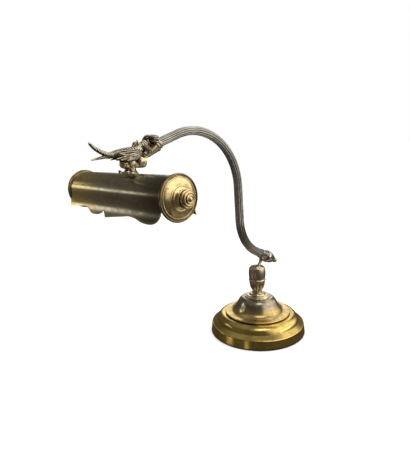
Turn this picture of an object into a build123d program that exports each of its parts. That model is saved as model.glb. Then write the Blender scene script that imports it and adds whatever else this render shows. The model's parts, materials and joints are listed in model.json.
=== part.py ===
from build123d import *
from math import asin, atan2, cos, radians, sin, sqrt
import os

# Desk lamp: a weighted round foot, a ball joint on a short column, a reeded swan-neck arm, a second
# ball joint, and a cast dragon that rides on a long brass shade with a scalloped lower edge.
# Millimetres. Z is up, the origin is the middle of the underside, the shade lies along X at -Y.

# Clearances
fit_gap = 0.05
running_gap = 0.3

# Foot
foot_radius = 82.5
foot_wall = 1.2
felt_height = 2.0
rim_gap = 1.4
drum_height = 14.2
drum_draft = 1.8
edge_round = 1.5
ledge_width = 7.6
ledge_rise = 4.4
ledge_step = 2.0
ovolo_width = 12.2
ovolo_rise = 10.0
seat_bore = 26.0
boss_radius = 34.0
weight_height = 14.0
recess_radius = 14.5
recess_depth = 10.0
cord_radius = 3.2
cord_height = 8.6
bush_lip = 1.6

# Bell-shaped cover on the foot
bell_foot = 52.6
bell_flange = 56.8
bell_height = 29.0
bell_neck = 21.7
bell_wall = 1.3
bell_waist = 39.4
waist_share = 0.317
bell_shoulder = 31.8
shoulder_share = 0.8
flange_rise = 2.3
flange_roll = 1.1

# Column: tie rod, collar, fluted cup, bead and socket nut
rod_radius = 5.0
rod_bore = 3.0
collar_radius = 21.7
collar_height = 7.8
cup_foot = 8.2
cup_radius = 13.9
cup_height = 21.8
flute_count = 14
flute_radius = 1.7
spigot_height = 8.8
spigot_radius = 11.3
spigot_wall = 1.4
bead_radius = 14.8
bead_height = 2.6
nut_foot = 13.6
nut_radius = 14.7
nut_lip_height = 20.9
washer_height = 2.0
hex_height = 5.0
hex_width = 17.0

# Lower ball joint
ball_radius = 10.5
ball_rise = 14.9
lip_rise = 5.2
stem_lean = 34.0
stem_length = 30.1
stem_waist = 2.7
stem_root = 3.2
stem_flare = 4.4
stem_bore = 1.7
seat_radius = 9.6
seat_height = 7.1
spring_height = 3.9
spring_wall = 1.0

# Elbow, dome and button at the lower end of the arm
tail_slope = 27.6
barrel_radius = 8.0
barrel_back = 9.0
barrel_front = 5.5
plug_length = 10.0
groove_length = 1.5
groove_radius = 7.0
dome_base = 9.9
dome_bulge = 10.8
dome_length = 24.0
dome_tip = 5.0
button_radius = 4.6
button_length = 11.0

# Arm: a reeded tube of straight runs and two bends, thinner towards the shade
tube_low_radius = 7.4
tube_high_radius = 6.0
tube_low_bore = 4.9
tube_high_bore = 4.1
reed_count = 12
groove_share = 0.21
low_run = 15.8
low_bend = 71.4
rise_heading = 92.95
rise_run = 53.6
high_bend = 91.5
high_heading = 199.3
high_run = 33.0

# Upper ball joint
joint_slope = 38.2
joint_reach = 35.7
small_ball = 6.6
small_neck = 2.4
small_bore = 1.1
sleeve_rim = 7.0
sleeve_radius = 6.3
sleeve_tip = 3.7
sleeve_length = 23.6
socket_slope = 5.0
socket_nose = 7.3
socket_cap = 8.2
socket_skirt = 4.5
socket_lip = 2.6
pad_radius = 4.8
pad_back = 9.2

# Shade
shade_back = 27.2
shade_drop = 36.9
shade_length = 203.0
shade_radius = 23.8
shade_wall = 0.9
flare_start = 8.0
flare_radius = 33.0
flare_depth = 29.5

# Lower edge of the shade: each lobe is a corner, a waist, a tongue and an end, as (along, drop)
far_lobe = ((-101.5, 21.2), (-60.8, 18.0), (-31.0, 25.2), (-11.5, 18.2))
near_lobe = ((-2.6, 26.6), (43.9, 21.1), (82.5, 25.6), (101.5, 12.6))

# End caps and finials
cap_flange = 26.3
cap_rim = 2.8
cap_spigot = 4.0
cap_wall = 1.1
cap_rise = 9.4
finial_radius = 11.0
finial_length = 12.6
nipple_radius = 5.0
nipple_bore = 3.0
cap_nut_height = 3.6
cap_nut_width = 11.6

# Lamp holder and bulb
holder_radius = 13.8
holder_length = 38.0
holder_bore = 8.0
holder_depth = 21.0
bulb_cap_radius = 6.9
bulb_cap_length = 24.0
bulb_radius = 12.5
bulb_length = 84.0
bulb_wall = 0.8

# Saddle, screws and the dragon
saddle_radius = 12.6
saddle_wall = 1.8
saddle_shift = 9.5
saddle_waist = 5.8
belly_radius = 7.6
belly_length = 32.0
screw_spread = 9.2
screw_radius = 1.5
screw_head = 2.7
wire_radius = 2.0
figure_back = 29.7
figure_rise = 36.5
figure_unit = 1.0
wing_wall = 2.2
wing_lean = 40.0
crest_wall = 4.4

# Heights up the column
rim_z = rim_gap
ledge_z = rim_z + drum_height
step_z = ledge_z + edge_round + ledge_rise
ovolo_z = step_z + ledge_step
seat_z = ovolo_z + ovolo_rise
collar_z = seat_z + bell_height
cup_z = collar_z + collar_height
bead_z = cup_z + cup_height
nut_z = bead_z + bead_height
ball_z = nut_z + ball_rise
spigot_z = bead_z + spigot_height
cup_floor_z = bead_z + 1.0

# Radii across the foot
drum_top = foot_radius - drum_draft
ledge_radius = drum_top - edge_round - ledge_width
ovolo_radius = ledge_radius - 0.6
seat_radius_out = ovolo_radius - ovolo_width


def outline(start, *steps):
    """Closed face from start: a point is a straight run to it, a pair (through, end) is an arc."""
    edges = []
    here = start
    for step in steps:
        if isinstance(step[0], tuple):
            edges.append(ThreePointArc(here, step[0], step[1]))
            here = step[1]
        else:
            edges.append(Line(here, step))
            here = step
    edges.append(Line(here, start))
    return make_face(edges)


def turned(start, *steps):
    """A turned piece about its own Z axis, from its outline in radius and height."""
    return revolve(Plane.XZ * outline(start, *steps), Axis.Z)


def on_ball(radius, height):
    """The point of a ball's outline at this height above its centre."""
    return (sqrt(radius * radius - height * height), height)


def crown(rim, base, tip):
    """A round end on the axis, from a rim at (rim, base) to the tip: an arc square to the axis."""
    rise = abs(tip - base)
    way = 1 if tip > base else -1
    ball = (rim * rim + rise * rise) / (2 * rise)
    half = atan2(rim, ball - rise) / 2
    return (ball * sin(half), tip - way * ball * (1 - cos(half))), (0, tip)


def largest(shape):
    return max(shape.solids(), key=lambda solid: solid.volume)


def up(height):
    return Location((0, 0, height))


def heading(angle):
    """Unit vector in the arm's plane, its angle taken from +Y towards +Z."""
    return Vector(0, cos(radians(angle)), sin(radians(angle)))


def along(origin, direction):
    """Plane whose Z axis points along a direction in the arm's plane."""
    return Plane(origin=origin, x_dir=(1, 0, 0), z_dir=direction)


def hexagon(width, height, bore):
    """A hexagon nut from its own underside up."""
    blank = extrude(RegularPolygon(width / 2, 6, major_radius=False), height)
    return blank - Cylinder(bore, 3 * height)


# Points and directions of the arm
ball_centre = Vector(0, 0, ball_z)
stem_axis = heading(90 - stem_lean)
elbow_centre = ball_centre + stem_axis * stem_length
tail_axis = heading(-tail_slope)
low_heading = 180 - tail_slope
tube_start = elbow_centre - tail_axis * barrel_back


def arc_end(point, start_heading, end_heading, radius):
    """Where an arc ends that turns from one heading to another in the arm's plane."""
    turn = 1 if end_heading > start_heading else -1
    a, b = radians(start_heading), radians(end_heading)
    return point + Vector(0, turn * radius * (sin(b) - sin(a)), turn * radius * (cos(a) - cos(b)))


bend_one = tube_start + heading(low_heading) * low_run
bend_two = arc_end(bend_one, low_heading, rise_heading, low_bend)
bend_three = bend_two + heading(rise_heading) * rise_run
bend_four = arc_end(bend_three, rise_heading, high_heading, high_bend)
tube_end = bend_four + heading(high_heading) * high_run
joint_axis = heading(joint_slope)
joint_centre = tube_end - joint_axis * joint_reach
socket_axis = heading(socket_slope)
shade_centre = joint_centre - Vector(0, shade_back, shade_drop)
crest_z = shade_centre.Z + shade_radius


# Foot

def felt_pad():
    radius = foot_radius - foot_wall - running_gap
    return turned((0, 0), (radius, 0), (radius, felt_height), (0, felt_height))


def foot_face(wall):
    """Half section of the foot, inset by wall: drum, ledge, step and ovolo up to the seat."""
    corner = edge_round * 0.3
    middle = (seat_radius_out + 0.62 * ovolo_width - wall, ovolo_z + 0.72 * ovolo_rise - wall)
    return outline(
        (0, rim_z),
        (foot_radius - wall, rim_z),
        (drum_top - wall, ledge_z - wall),
        ((drum_top - corner - wall, ledge_z + edge_round - corner - wall),
         (drum_top - edge_round - wall, ledge_z + edge_round - wall)),
        (ledge_radius - wall, step_z - wall),
        (ovolo_radius - wall, ovolo_z - wall),
        (middle, (seat_radius_out - wall, seat_z - wall)),
        (0, seat_z - wall),
    )


def cord_channel(radius, reach):
    """The cord's way in through the back of the foot."""
    plane = Plane(origin=(0, foot_radius + reach, cord_height), x_dir=(1, 0, 0), z_dir=(0, -1, 0))
    return plane * extrude(Circle(radius), foot_radius + reach)


def base_shell():
    wall = revolve(Plane.XZ * foot_face(0), Axis.Z) - revolve(Plane.XZ * foot_face(foot_wall), Axis.Z)
    bore = up(seat_z) * Cylinder(seat_bore, 4 * foot_wall)
    return wall - bore - cord_channel(cord_radius + bush_lip, bush_lip)


def base_weight():
    radius = foot_radius - foot_wall - running_gap
    top = felt_height + weight_height - foot_wall
    boss_top = seat_z - foot_wall
    blank = turned(
        (0, felt_height),
        (radius, felt_height),
        (radius - drum_draft, top),
        (boss_radius + 12, top),
        (boss_radius, top + 5),
        (boss_radius, boss_top),
        (0, boss_top),
    )
    recess = up(felt_height + recess_depth / 2) * Cylinder(recess_radius, recess_depth)
    bore = up(boss_top / 2) * Cylinder(rod_radius + running_gap, 2 * boss_top)
    width = 2 * (cord_radius + bush_lip + running_gap)
    height = cord_height + width / 2 - felt_height
    slot = Pos(0, foot_radius / 2, felt_height + height / 2) * Box(width, foot_radius, height)
    return blank - recess - bore - slot


def cord_bush():
    """Moulded bush in the back of the drum, its lip outside the wall."""
    body = cord_radius + bush_lip - fit_gap
    wall_at = foot_radius - drum_draft * (cord_height - rim_z) / drum_height
    inner = wall_at - foot_wall - 2.4
    plane = Plane(origin=(0, wall_at + bush_lip, cord_height), x_dir=(1, 0, 0), z_dir=(0, -1, 0))
    piece = turned(
        (cord_radius, 0),
        (body + 0.8, 0),
        ((body + 1.6, 0.3), (body + 1.8, bush_lip + 0.25)),
        (body, bush_lip + 0.25),
        (body, wall_at + bush_lip - inner),
        (cord_radius, wall_at + bush_lip - inner),
    )
    outside = revolve(Plane.XZ * foot_face(-fit_gap), Axis.Z)
    inside = revolve(Plane.XZ * foot_face(foot_wall + fit_gap), Axis.Z)
    plug = plane * extrude(Circle(body), 12) - plane * extrude(Circle(cord_radius), 12)
    return plane * piece - (outside - inside - plug)


def bell_steps(wall):
    """The bell's curve from its cove up to its hole, inset by wall."""
    waist = (bell_waist - wall, waist_share * bell_height)
    shoulder = (bell_shoulder - wall, shoulder_share * bell_height)
    cove = (0.9 * bell_waist + 0.1 * bell_flange + 0.66 - wall, 0.2 * bell_height - wall)
    crest = (0.68 * bell_shoulder + 0.32 * bell_neck + 0.03, 0.938 * bell_height)
    return [
        (cove, waist),
        shoulder,
        ((crest[0] - wall, crest[1]), (bell_neck, bell_height - wall)),
        (0, bell_height - wall),
    ]


def base_dome():
    """Spun bell cover: a rolled flange, a cove and a steep shoulder."""
    cove = (0.827 * bell_flange, 0.155 * bell_height)
    outside = outline(
        (0, 0),
        (bell_foot, 0),
        (bell_flange - 0.7, flange_rise - flange_roll),
        ((bell_flange, flange_rise), (bell_flange - 0.7, flange_rise + flange_roll)),
        cove,
        *bell_steps(0),
    )
    inside = outline((0, 0), (cove[0], 0), (cove[0], cove[1] - bell_wall), *bell_steps(bell_wall))
    skin = revolve(Plane.XZ * outside, Axis.Z) - revolve(Plane.XZ * inside, Axis.Z)
    bore = up(bell_height) * Cylinder(rod_radius + fit_gap, 6 * bell_wall)
    return up(seat_z) * (skin - bore)


# Column

def dome_collar():
    edge = 1.2
    return up(collar_z) * turned(
        (rod_radius + fit_gap, 0),
        (bell_neck - 4.0, 0),
        (collar_radius - 2.4, 0.9),
        (collar_radius, 1.5),
        (collar_radius, 1.5 + edge),
        ((collar_radius - 2.0, 2.5 + edge), (collar_radius - 3.4, 2.4 + edge)),
        ((cup_foot + 5.6, 4.4), (cup_foot + 3.4, collar_height - 2.0)),
        ((cup_foot + 3.3, collar_height - 0.6), (cup_foot + 1.6, collar_height)),
        (rod_radius + fit_gap, collar_height),
    )


def base_rod():
    low = felt_height + 2.4
    high = bead_z - 3.6
    return up((low + high) / 2) * (Cylinder(rod_radius, high - low) - Cylinder(rod_bore, 2 * high))


def rod_washer():
    height = felt_height + recess_depth - washer_height
    disc = Cylinder(recess_radius - 1.5, washer_height) - Cylinder(rod_radius + fit_gap, 3 * washer_height)
    return up(height + washer_height / 2) * disc


def rod_nut():
    height = felt_height + recess_depth - washer_height - hex_height
    return up(height) * hexagon(hex_width, hex_height, rod_radius + fit_gap)


def cup_side():
    """The cup's outer curve as points from its foot to its straight lip."""
    return (cup_foot, 0), (12.2, 0.32 * cup_height), (cup_radius, 0.8 * cup_height)


def column_cup():
    """Cup with its flutes, and the threaded spigot that the socket nut screws on."""
    foot, middle, shoulder = cup_side()
    floor = cup_floor_z - cup_z
    top = spigot_z - cup_z
    bore = spigot_radius - spigot_wall
    body = turned(
        (rod_radius + fit_gap, 0),
        foot,
        (middle, shoulder),
        (cup_radius, cup_height),
        (spigot_radius, cup_height),
        (spigot_radius, top),
        (bore, top),
        (bore, floor),
        (rod_bore + 0.6, floor),
        (rod_bore + 0.6, cup_height - 3.6),
        (rod_radius + fit_gap, cup_height - 3.6),
    )
    low, through, high = (foot[0] + 0.5, -0.6), (middle[0] + 0.9, middle[1]), (shoulder[0] + 0.9, shoulder[1])
    side = Plane.XZ * Wire([ThreePointArc(low, through, high)])
    cutter = sweep(Plane(side @ 0, z_dir=side % 0) * Circle(flute_radius), path=side)
    cutter += Pos(*(side @ 1)) * Sphere(flute_radius)
    return up(cup_z) * (body - PolarLocations(0, flute_count) * cutter)


def cup_bead():
    inner = spigot_radius + fit_gap
    return up(bead_z) * turned(
        (inner, 0),
        (bead_radius - 0.8, 0),
        ((bead_radius, bead_height / 2), (bead_radius - 0.8, bead_height)),
        (inner, bead_height),
    )


def seat_spring():
    inner, outer = rod_bore + 1.2, spigot_radius - spigot_wall - 0.6
    rise = spring_height - spring_wall
    return up(cup_floor_z) * turned(
        (inner, rise), (outer, 0), (outer, spring_wall), (inner, spring_height),
    )


def ball_seat():
    """Moulded friction seat: its hollow top follows the ball."""
    hollow = ball_radius + running_gap
    low = cup_floor_z + spring_height + running_gap - ball_z
    high = low + seat_height
    bore = rod_bore + 0.6
    rim = sqrt(hollow * hollow - high * high)
    bottom = -sqrt(hollow * hollow - bore * bore)
    return up(ball_z) * turned(
        (bore, low), (seat_radius, low), (seat_radius, high), (rim, high),
        (on_ball(hollow, (high + bottom) / 2), (bore, bottom)),
    )


def socket_nut():
    """Barrel-shaped nut that holds the ball down; its open lip lets the stem lean."""
    hollow = ball_radius + running_gap
    thread_top = spigot_z - nut_z + 0.6
    lip = ball_rise + lip_rise
    lip_radius = sqrt(hollow * hollow - lip_rise * lip_rise)
    top = ball_rise + 7.6
    return up(nut_z) * turned(
        (spigot_radius + fit_gap, 0),
        (nut_foot, 0),
        ((nut_radius, 0.55 * nut_lip_height), (nut_radius - 0.7, ball_rise + 3.0)),
        ((nut_radius - 2.0, top - 1.6), (10.7, top)),
        (lip_radius, lip),
        (on_lip(hollow, lip_rise, ball_rise), (hollow, ball_rise)),
        (hollow, thread_top),
        (spigot_radius + fit_gap, thread_top),
    )


def on_lip(radius, height, lift):
    """The point halfway down the ball's hollow from its lip to its middle."""
    point = on_ball(radius, height / 2)
    return (point[0], point[1] + lift)


# Lower end of the arm

def column_ball():
    """Ball, waisted stem and the flare that seats on the elbow."""
    reach = stem_length - barrel_radius
    root = sqrt(ball_radius ** 2 - stem_root ** 2)
    bottom = -sqrt(ball_radius ** 2 - stem_bore ** 2)
    blank = turned(
        (stem_bore, bottom),
        ((ball_radius, 0), (stem_root, root)),
        ((stem_waist, root + 0.32 * (reach - root)), (stem_flare, reach)),
        (stem_flare, reach + 4),
        (stem_bore, reach + 4),
    )
    plane = along(ball_centre, stem_axis)
    barrel = along(elbow_centre, tail_axis) * Cylinder(barrel_radius + fit_gap, 4 * barrel_back)
    spigot = up(reach + 2) * (Cylinder(stem_root, 8) - Cylinder(stem_bore, 20))
    return plane * blank - barrel + plane * spigot


def arm_elbow():
    """Turned barrel between tube and dome, drilled for the stem and for the wires."""
    back, front = -barrel_back, barrel_front
    plug = tube_low_bore - fit_gap
    bead = 0.45
    blank = turned(
        (0, back - plug_length),
        (plug, back - plug_length),
        (plug, back),
        (barrel_radius, back),
        ((barrel_radius + bead, back + 1.1), (barrel_radius, back + 2.2)),
        (barrel_radius, front - 2.2),
        ((barrel_radius + bead, front - 1.1), (barrel_radius, front)),
        (groove_radius, front),
        (groove_radius, front + groove_length),
        (0.45 * dome_base, front + groove_length),
        (0.45 * dome_base, front + groove_length + 5),
        (0, front + groove_length + 5),
    )
    wires = up(back - plug_length / 2) * Cylinder(stem_bore, 2 * (barrel_back + plug_length) - plug_length)
    plane = along(elbow_centre, tail_axis)
    hole = along(ball_centre, stem_axis) * (up(stem_length - 3) * Cylinder(stem_root + fit_gap, 12))
    return plane * (blank - wires) - hole


def elbow_dome():
    base = barrel_front + groove_length
    top = base + dome_length
    screw = 0.45 * dome_base + fit_gap
    tap = 0.45 * dome_tip
    return along(elbow_centre, tail_axis) * turned(
        (screw, base),
        (dome_base, base),
        ((dome_bulge, base + 0.16 * dome_length), (dome_bulge - 0.5, base + 0.3 * dome_length)),
        ((0.78 * dome_bulge, base + 0.7 * dome_length), (dome_tip, top)),
        (tap, top),
        (tap, base + 6),
        (screw, base + 6),
    )


def dome_button():
    base = barrel_front + groove_length + dome_length
    tap = 0.45 * dome_tip - fit_gap

    def at(radius_share, length_share):
        return (radius_share * button_radius, base + length_share * button_length)
    return along(elbow_centre, tail_axis) * turned(
        (0, base - 5),
        (tap, base - 5),
        (tap, base),
        (0.86 * dome_tip, base),
        (at(0.78, 0.18), at(0.88, 0.4)),
        (at(1.0, 0.6), at(0.8, 0.84)),
        crown(0.8 * button_radius, base + 0.84 * button_length, base + button_length),
    )


# Arm

def arm_path():
    def bend(start, end, start_heading, end_heading, radius):
        middle = arc_end(start, start_heading, (start_heading + end_heading) / 2, radius)
        return ThreePointArc(start, middle, end)
    finish = tube_end + heading(high_heading) * 4
    return Wire([
        Line(tube_start, bend_one),
        bend(bend_one, bend_two, low_heading, rise_heading, low_bend),
        Line(bend_two, bend_three),
        bend(bend_three, bend_four, rise_heading, high_heading, high_bend),
        Line(bend_four, finish),
    ])


def arm_tube():
    """Tapered reeded tube: the reeds are what round grooves leave of a circle."""
    path = arm_path()

    def across(position, shape):
        return Plane(origin=path @ position, x_dir=(1, 0, 0), z_dir=path % position) * shape

    def reeded(radius):
        groove = groove_share * radius
        return Circle(radius) - PolarLocations(radius + 0.55 * groove, reed_count) * Circle(groove)

    skin = sweep(
        sections=[across(0, reeded(tube_low_radius)), across(1, reeded(tube_high_radius))],
        path=path, multisection=True,
    )
    bore = sweep(
        sections=[across(0, Circle(tube_low_bore)), across(1, Circle(tube_high_bore))],
        path=path, multisection=True,
    )
    beyond = along(tube_end, joint_axis) * (up(-20) * Box(60, 60, 40))
    return skin - bore - beyond


def arm_sleeve():
    """End piece of the arm: a rim round the tube's end, a plug inside it and a tapered body."""
    rim = joint_reach
    tip = rim - sleeve_length
    bore = small_neck + fit_gap
    body = turned(
        (bore, tip),
        (sleeve_tip - 0.4, tip),
        ((sleeve_tip, tip + 0.5), (sleeve_tip - 0.2, tip + 1.2)),
        ((0.5 * (sleeve_tip + sleeve_radius) + 0.7, tip + 0.42 * sleeve_length), (sleeve_radius, rim - 5.2)),
        (sleeve_radius - 0.3, rim - 2.6),
        (sleeve_rim, rim - 2.0),
        ((sleeve_rim + 0.4, rim - 1.0), (sleeve_rim, rim)),
        (0, rim),
        (0, tip + 12),
        (bore, tip + 12),
    )
    axis = heading(high_heading - 180)
    plug = along(tube_end, axis) * Cylinder(tube_high_bore - 3 * fit_gap, 16)
    plug -= along(joint_centre, joint_axis) * (up(rim - 20) * Box(60, 60, 40))
    wires = along(tube_end, axis) * Cylinder(small_bore, 30)
    return along(joint_centre, joint_axis) * body + plug - wires


def shade_ball():
    """Small ball and neck that carry the shade."""
    high = joint_reach - sleeve_length + 10
    root = sqrt(small_ball ** 2 - small_neck ** 2)
    bottom = -sqrt(small_ball ** 2 - small_bore ** 2)
    return along(joint_centre, joint_axis) * turned(
        (small_bore, bottom),
        ((small_ball, 0), (small_neck, root)),
        (small_neck, high),
        (small_bore, high),
    )


# Socket and saddle of the shade

def socket_cap_ring():
    """Screwed cap round the small ball, rounded like a ball itself."""
    hollow = small_ball + 0.7 * running_gap
    mouth = sqrt(hollow ** 2 - socket_lip ** 2)
    front = sqrt(socket_cap ** 2 - socket_lip ** 2)
    return along(joint_centre, socket_axis) * turned(
        (socket_nose + fit_gap, -socket_skirt),
        (socket_cap - 0.4, -socket_skirt),
        (socket_cap, -socket_skirt + 0.8),
        (socket_cap, 0),
        (on_ball(socket_cap, socket_lip / 2), (front, socket_lip)),
        (mouth, socket_lip),
        (on_ball(hollow, socket_lip / 2), (hollow, 0)),
        (socket_nose + fit_gap, 0),
    )


def ball_pad():
    """Friction pad behind the small ball."""
    hollow = small_ball + running_gap
    rim = sqrt(hollow ** 2 - pad_radius ** 2)
    bottom = sqrt(hollow ** 2 - wire_radius ** 2)
    middle = on_ball(hollow, -(rim + bottom) / 2)
    return along(joint_centre, socket_axis) * turned(
        (wire_radius, -pad_back),
        (pad_radius, -pad_back),
        (pad_radius, -rim),
        (middle, (wire_radius, -bottom)),
    )


def shade_core(radius):
    """A rod of this radius on the shade's axis, as long as the bracket's foot."""
    plane = Plane(origin=shade_centre, x_dir=(0, 1, 0), z_dir=(1, 0, 0))
    return plane * Cylinder(radius, 4 * saddle_radius)


def foot_centre():
    return Vector(0, shade_centre.Y + saddle_shift, shade_centre.Z)


def screw_spots():
    """Where the two saddle screws stand, on the shade's crest."""
    return [Vector(side * screw_spread, shade_centre.Y, crest_z) for side in (-1, 1)]


def shade_bracket():
    """Cast bracket: ball socket and belly above, spreading foot on the shade below."""
    hollow = small_ball + running_gap
    step = sqrt(hollow ** 2 - (pad_radius + running_gap) ** 2) + 0.3
    floor = pad_back + running_gap
    end = 0.86 * belly_length
    belly = along(joint_centre, socket_axis) * turned(
        (0, -floor),
        (0, -belly_length),
        (crown(0.72 * belly_radius, -end, -belly_length)[0], (0.72 * belly_radius, -end)),
        ((belly_radius, -0.62 * belly_length), (0.97 * belly_radius, -0.45 * belly_length)),
        ((0.95 * belly_radius, -0.3 * belly_length), (socket_nose + 0.6, -socket_skirt)),
        (socket_nose, -socket_skirt),
        (socket_nose, 0),
        (hollow, 0),
        (hollow, -step),
        (pad_radius + running_gap, -step),
        (pad_radius + running_gap, -floor),
    )
    stand = foot_centre()
    middle = joint_centre - socket_axis * 0.62 * belly_length
    low = crest_z - shade_centre.Z - 4
    pillar = loft([
        Plane(origin=stand + Vector(0, 0, low)) * Circle(saddle_radius),
        Plane(origin=stand + Vector(0, 0, low + 5.4)) * Circle(saddle_waist + 2.6),
        Plane(origin=stand + Vector(0, 0, low + 9.4)) * Circle(saddle_waist),
        Plane(origin=(0, middle.Y, middle.Z - 2)) * Circle(belly_radius - 1.6),
    ])
    hug = shade_radius + fit_gap
    inside = shade_core(hug)
    above = Pos(*(stand + Vector(0, 0, shade_radius))) * Cylinder(saddle_radius, 2 * shade_radius)
    plate = (shade_core(hug + saddle_wall) - inside) & above
    socket = along(joint_centre, socket_axis)
    socket_room = socket * Cylinder(hollow, 2 * step)
    socket_room += socket * (up(-floor / 2) * Cylinder(pad_radius + running_gap, floor))
    cap_space = socket * (up(-socket_skirt + 15) * Cylinder(socket_cap + 0.2, 30))
    cap_space -= socket * (up(-socket_skirt / 2) * Cylinder(socket_nose, socket_skirt))
    body = belly + ((pillar - cap_space) - inside) + plate - socket_room
    top = joint_centre - socket_axis * (floor - 1)
    drill = Pos(0, top.Y, top.Z - 12) * Cylinder(wire_radius, 30)
    body -= drill
    for spot in screw_spots():
        hole = Pos(*spot) * Cylinder(screw_radius + fit_gap, 12)
        seat = Pos(*(spot + Vector(0, 0, saddle_wall + 8))) * Cylinder(screw_head + 0.3, 16)
        body = body - hole - seat
    return body


def bracket_screws():
    head_height = 1.6
    screw = turned(
        (0, -6.4), (screw_radius, -6.4), (screw_radius, 0), (screw_head, 0),
        crown(screw_head, 0, head_height),
    )
    slot = up(head_height) * Box(2.4 * screw_head, 0.6, 1.3)
    return Compound([Pos(*(spot + Vector(0, 0, saddle_wall))) * (screw - slot) for spot in screw_spots()])


def bracket_nuts():
    nut = hexagon(5.5, 2.2, screw_radius + fit_gap)
    inner = shade_radius - shade_wall
    sag = inner - sqrt(inner ** 2 - 3.2 ** 2)
    drop = shade_wall + sag + 2.2 + fit_gap
    return Compound([Pos(*(spot - Vector(0, 0, drop))) * nut for spot in screw_spots()])


# Shade

def shade_section():
    """Horseshoe section: a round back whose sides flare out below."""
    start = radians(flare_start)
    centre = ((shade_radius + flare_radius) * cos(start), -(shade_radius + flare_radius) * sin(start))
    end = asin((flare_depth + centre[1]) / flare_radius)

    def side(offset):
        radius = flare_radius + offset

        def at(angle):
            return (centre[0] - radius * cos(angle), centre[1] - radius * sin(angle))
        return at(-start), at((end - start) / 2), at(end)

    def mirrored(point):
        return (-point[0], point[1])

    outer, inner = side(0), side(shade_wall)
    return make_face([
        ThreePointArc(outer[0], (0, shade_radius), mirrored(outer[0])),
        ThreePointArc(outer[0], outer[1], outer[2]),
        Line(outer[2], inner[2]),
        ThreePointArc(inner[2], inner[1], inner[0]),
        ThreePointArc(inner[0], (0, shade_radius - shade_wall), mirrored(inner[0])),
        ThreePointArc(mirrored(inner[0]), mirrored(inner[1]), mirrored(inner[2])),
        Line(mirrored(inner[2]), mirrored(outer[2])),
        ThreePointArc(mirrored(outer[2]), mirrored(outer[1]), mirrored(outer[0])),
    ])


def lobe_edges(lobe):
    """One scallop of the lower edge: a straight brim, an S-curve into a tongue and its rise."""
    corner, waist, tongue, end = [(x, -drop) for x, drop in lobe]
    ease = 0.5 * (tongue[0] - waist[0])
    rise = end[0] - tongue[0]
    return [
        Line(corner, waist),
        Bezier(waist, (waist[0] + ease, waist[1]), (tongue[0] - ease, tongue[1]), tongue),
        Bezier(tongue, (tongue[0] + 0.5 * rise, tongue[1]), (end[0] - 0.1 * rise, tongue[1] + 1), end),
    ]


def edge_cutter():
    """What is cut away below the scalloped edge, on the side that faces -Y."""
    deep = -flare_depth - 5
    first, last = far_lobe[0], near_lobe[-1]
    beyond = shade_length / 2 + 3
    edges = [
        Line((-beyond, deep), (-beyond, -first[1])),
        Line((-beyond, -first[1]), (first[0], -first[1])),
        *lobe_edges(far_lobe),
        Line((far_lobe[-1][0], -far_lobe[-1][1]), (near_lobe[0][0], -near_lobe[0][1])),
        *lobe_edges(near_lobe),
        Line((last[0], -last[1]), (beyond, -last[1])),
        Line((beyond, -last[1]), (beyond, deep)),
        Line((beyond, deep), (-beyond, deep)),
    ]
    return extrude(Plane.XZ * make_face(edges), 3 * shade_radius)


def shade_shell():
    plane = Plane(origin=(-shade_length / 2, 0, 0), x_dir=(0, 1, 0), z_dir=(1, 0, 0))
    trough = plane * extrude(shade_section(), shade_length)
    cutter = edge_cutter()
    trough = trough - cutter - Rot(0, 0, 180) * cutter
    trough = Pos(*shade_centre) * trough
    for spot in screw_spots():
        trough -= Pos(*spot) * Cylinder(screw_radius + fit_gap, 8)
    top = joint_centre - socket_axis * (pad_back + running_gap - 1)
    return trough - Pos(0, top.Y, crest_z) * Cylinder(wire_radius, 12)


def cap_plane(side):
    """Outward plane at one end of the shade shell."""
    origin = shade_centre + Vector(side * shade_length / 2, 0, 0)
    return Plane(origin=origin, x_dir=(0, 1, 0), z_dir=(side, 0, 0))


def end_cap(side):
    """Pressed cap: spigot in the shell, beaded flange, domed face and a cove up to its boss."""
    spigot = shade_radius - shade_wall - fit_gap
    bore = nipple_radius + fit_gap
    inner = spigot - cap_wall
    boss = 7.4
    return cap_plane(side) * turned(
        (bore, cap_rise - cap_wall),
        (boss - 0.4, cap_rise - cap_wall),
        (boss, 6.8),
        ((9.6, 5.2), (13.8, 4.7)),
        ((19.6, 2.6), (inner, 0.2)),
        (inner, -cap_spigot),
        (spigot, -cap_spigot),
        (spigot, 0),
        (cap_flange - 0.7, 0),
        ((cap_flange, 0.5 * cap_rim), (cap_flange - 0.9, cap_rim)),
        (24.2, cap_rim),
        ((23.6, cap_rim - 0.4), (22.9, cap_rim - 0.1)),
        ((19.2, 4.4), (13.6, 5.8)),
        ((10.4, 6.5), (boss + 1.0, 8.0)),
        (boss + 0.8, cap_rise),
        (bore, cap_rise),
    )


def finial(side):
    """Stepped turned knob that screws on the nipple."""
    base = cap_rise
    tip = base + finial_length
    big = finial_radius
    tap = nipple_radius + fit_gap
    return cap_plane(side) * turned(
        (tap, base),
        (7.4, base),
        ((6.6, base + 1.1), (0.82 * big, base + 2.0)),
        ((big, base + 3.9), (0.92 * big, base + 5.5)),
        (0.78 * big, base + 5.9),
        (0.77 * big, base + 6.9),
        ((0.87 * big, base + 7.9), (0.83 * big, base + 9.0)),
        (0.71 * big, base + 9.3),
        ((0.67 * big, base + 10.3), (0.55 * big, base + 10.4)),
        ((0.5 * big, base + 11.3), (0.38 * big, base + 11.4)),
        (0.2 * big, base + 11.9),
        crown(0.2 * big, base + 11.9, tip),
        (0, base + 5),
        (tap, base + 5),
    )


def nipple_low(side):
    """How deep the nipple reaches in; the one at -X also carries the lamp holder."""
    return -5.0 if side < 0 else 2.5


def cap_nipples():
    """Threaded tubes through both end caps."""
    pieces = []
    for side in (-1, 1):
        low = nipple_low(side)
        high = cap_rise + 4.6
        tube = Cylinder(nipple_radius, high - low) - Cylinder(nipple_bore, 3 * high)
        pieces.append(cap_plane(side) * (up((low + high) / 2) * tube))
    return Compound(pieces)


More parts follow.
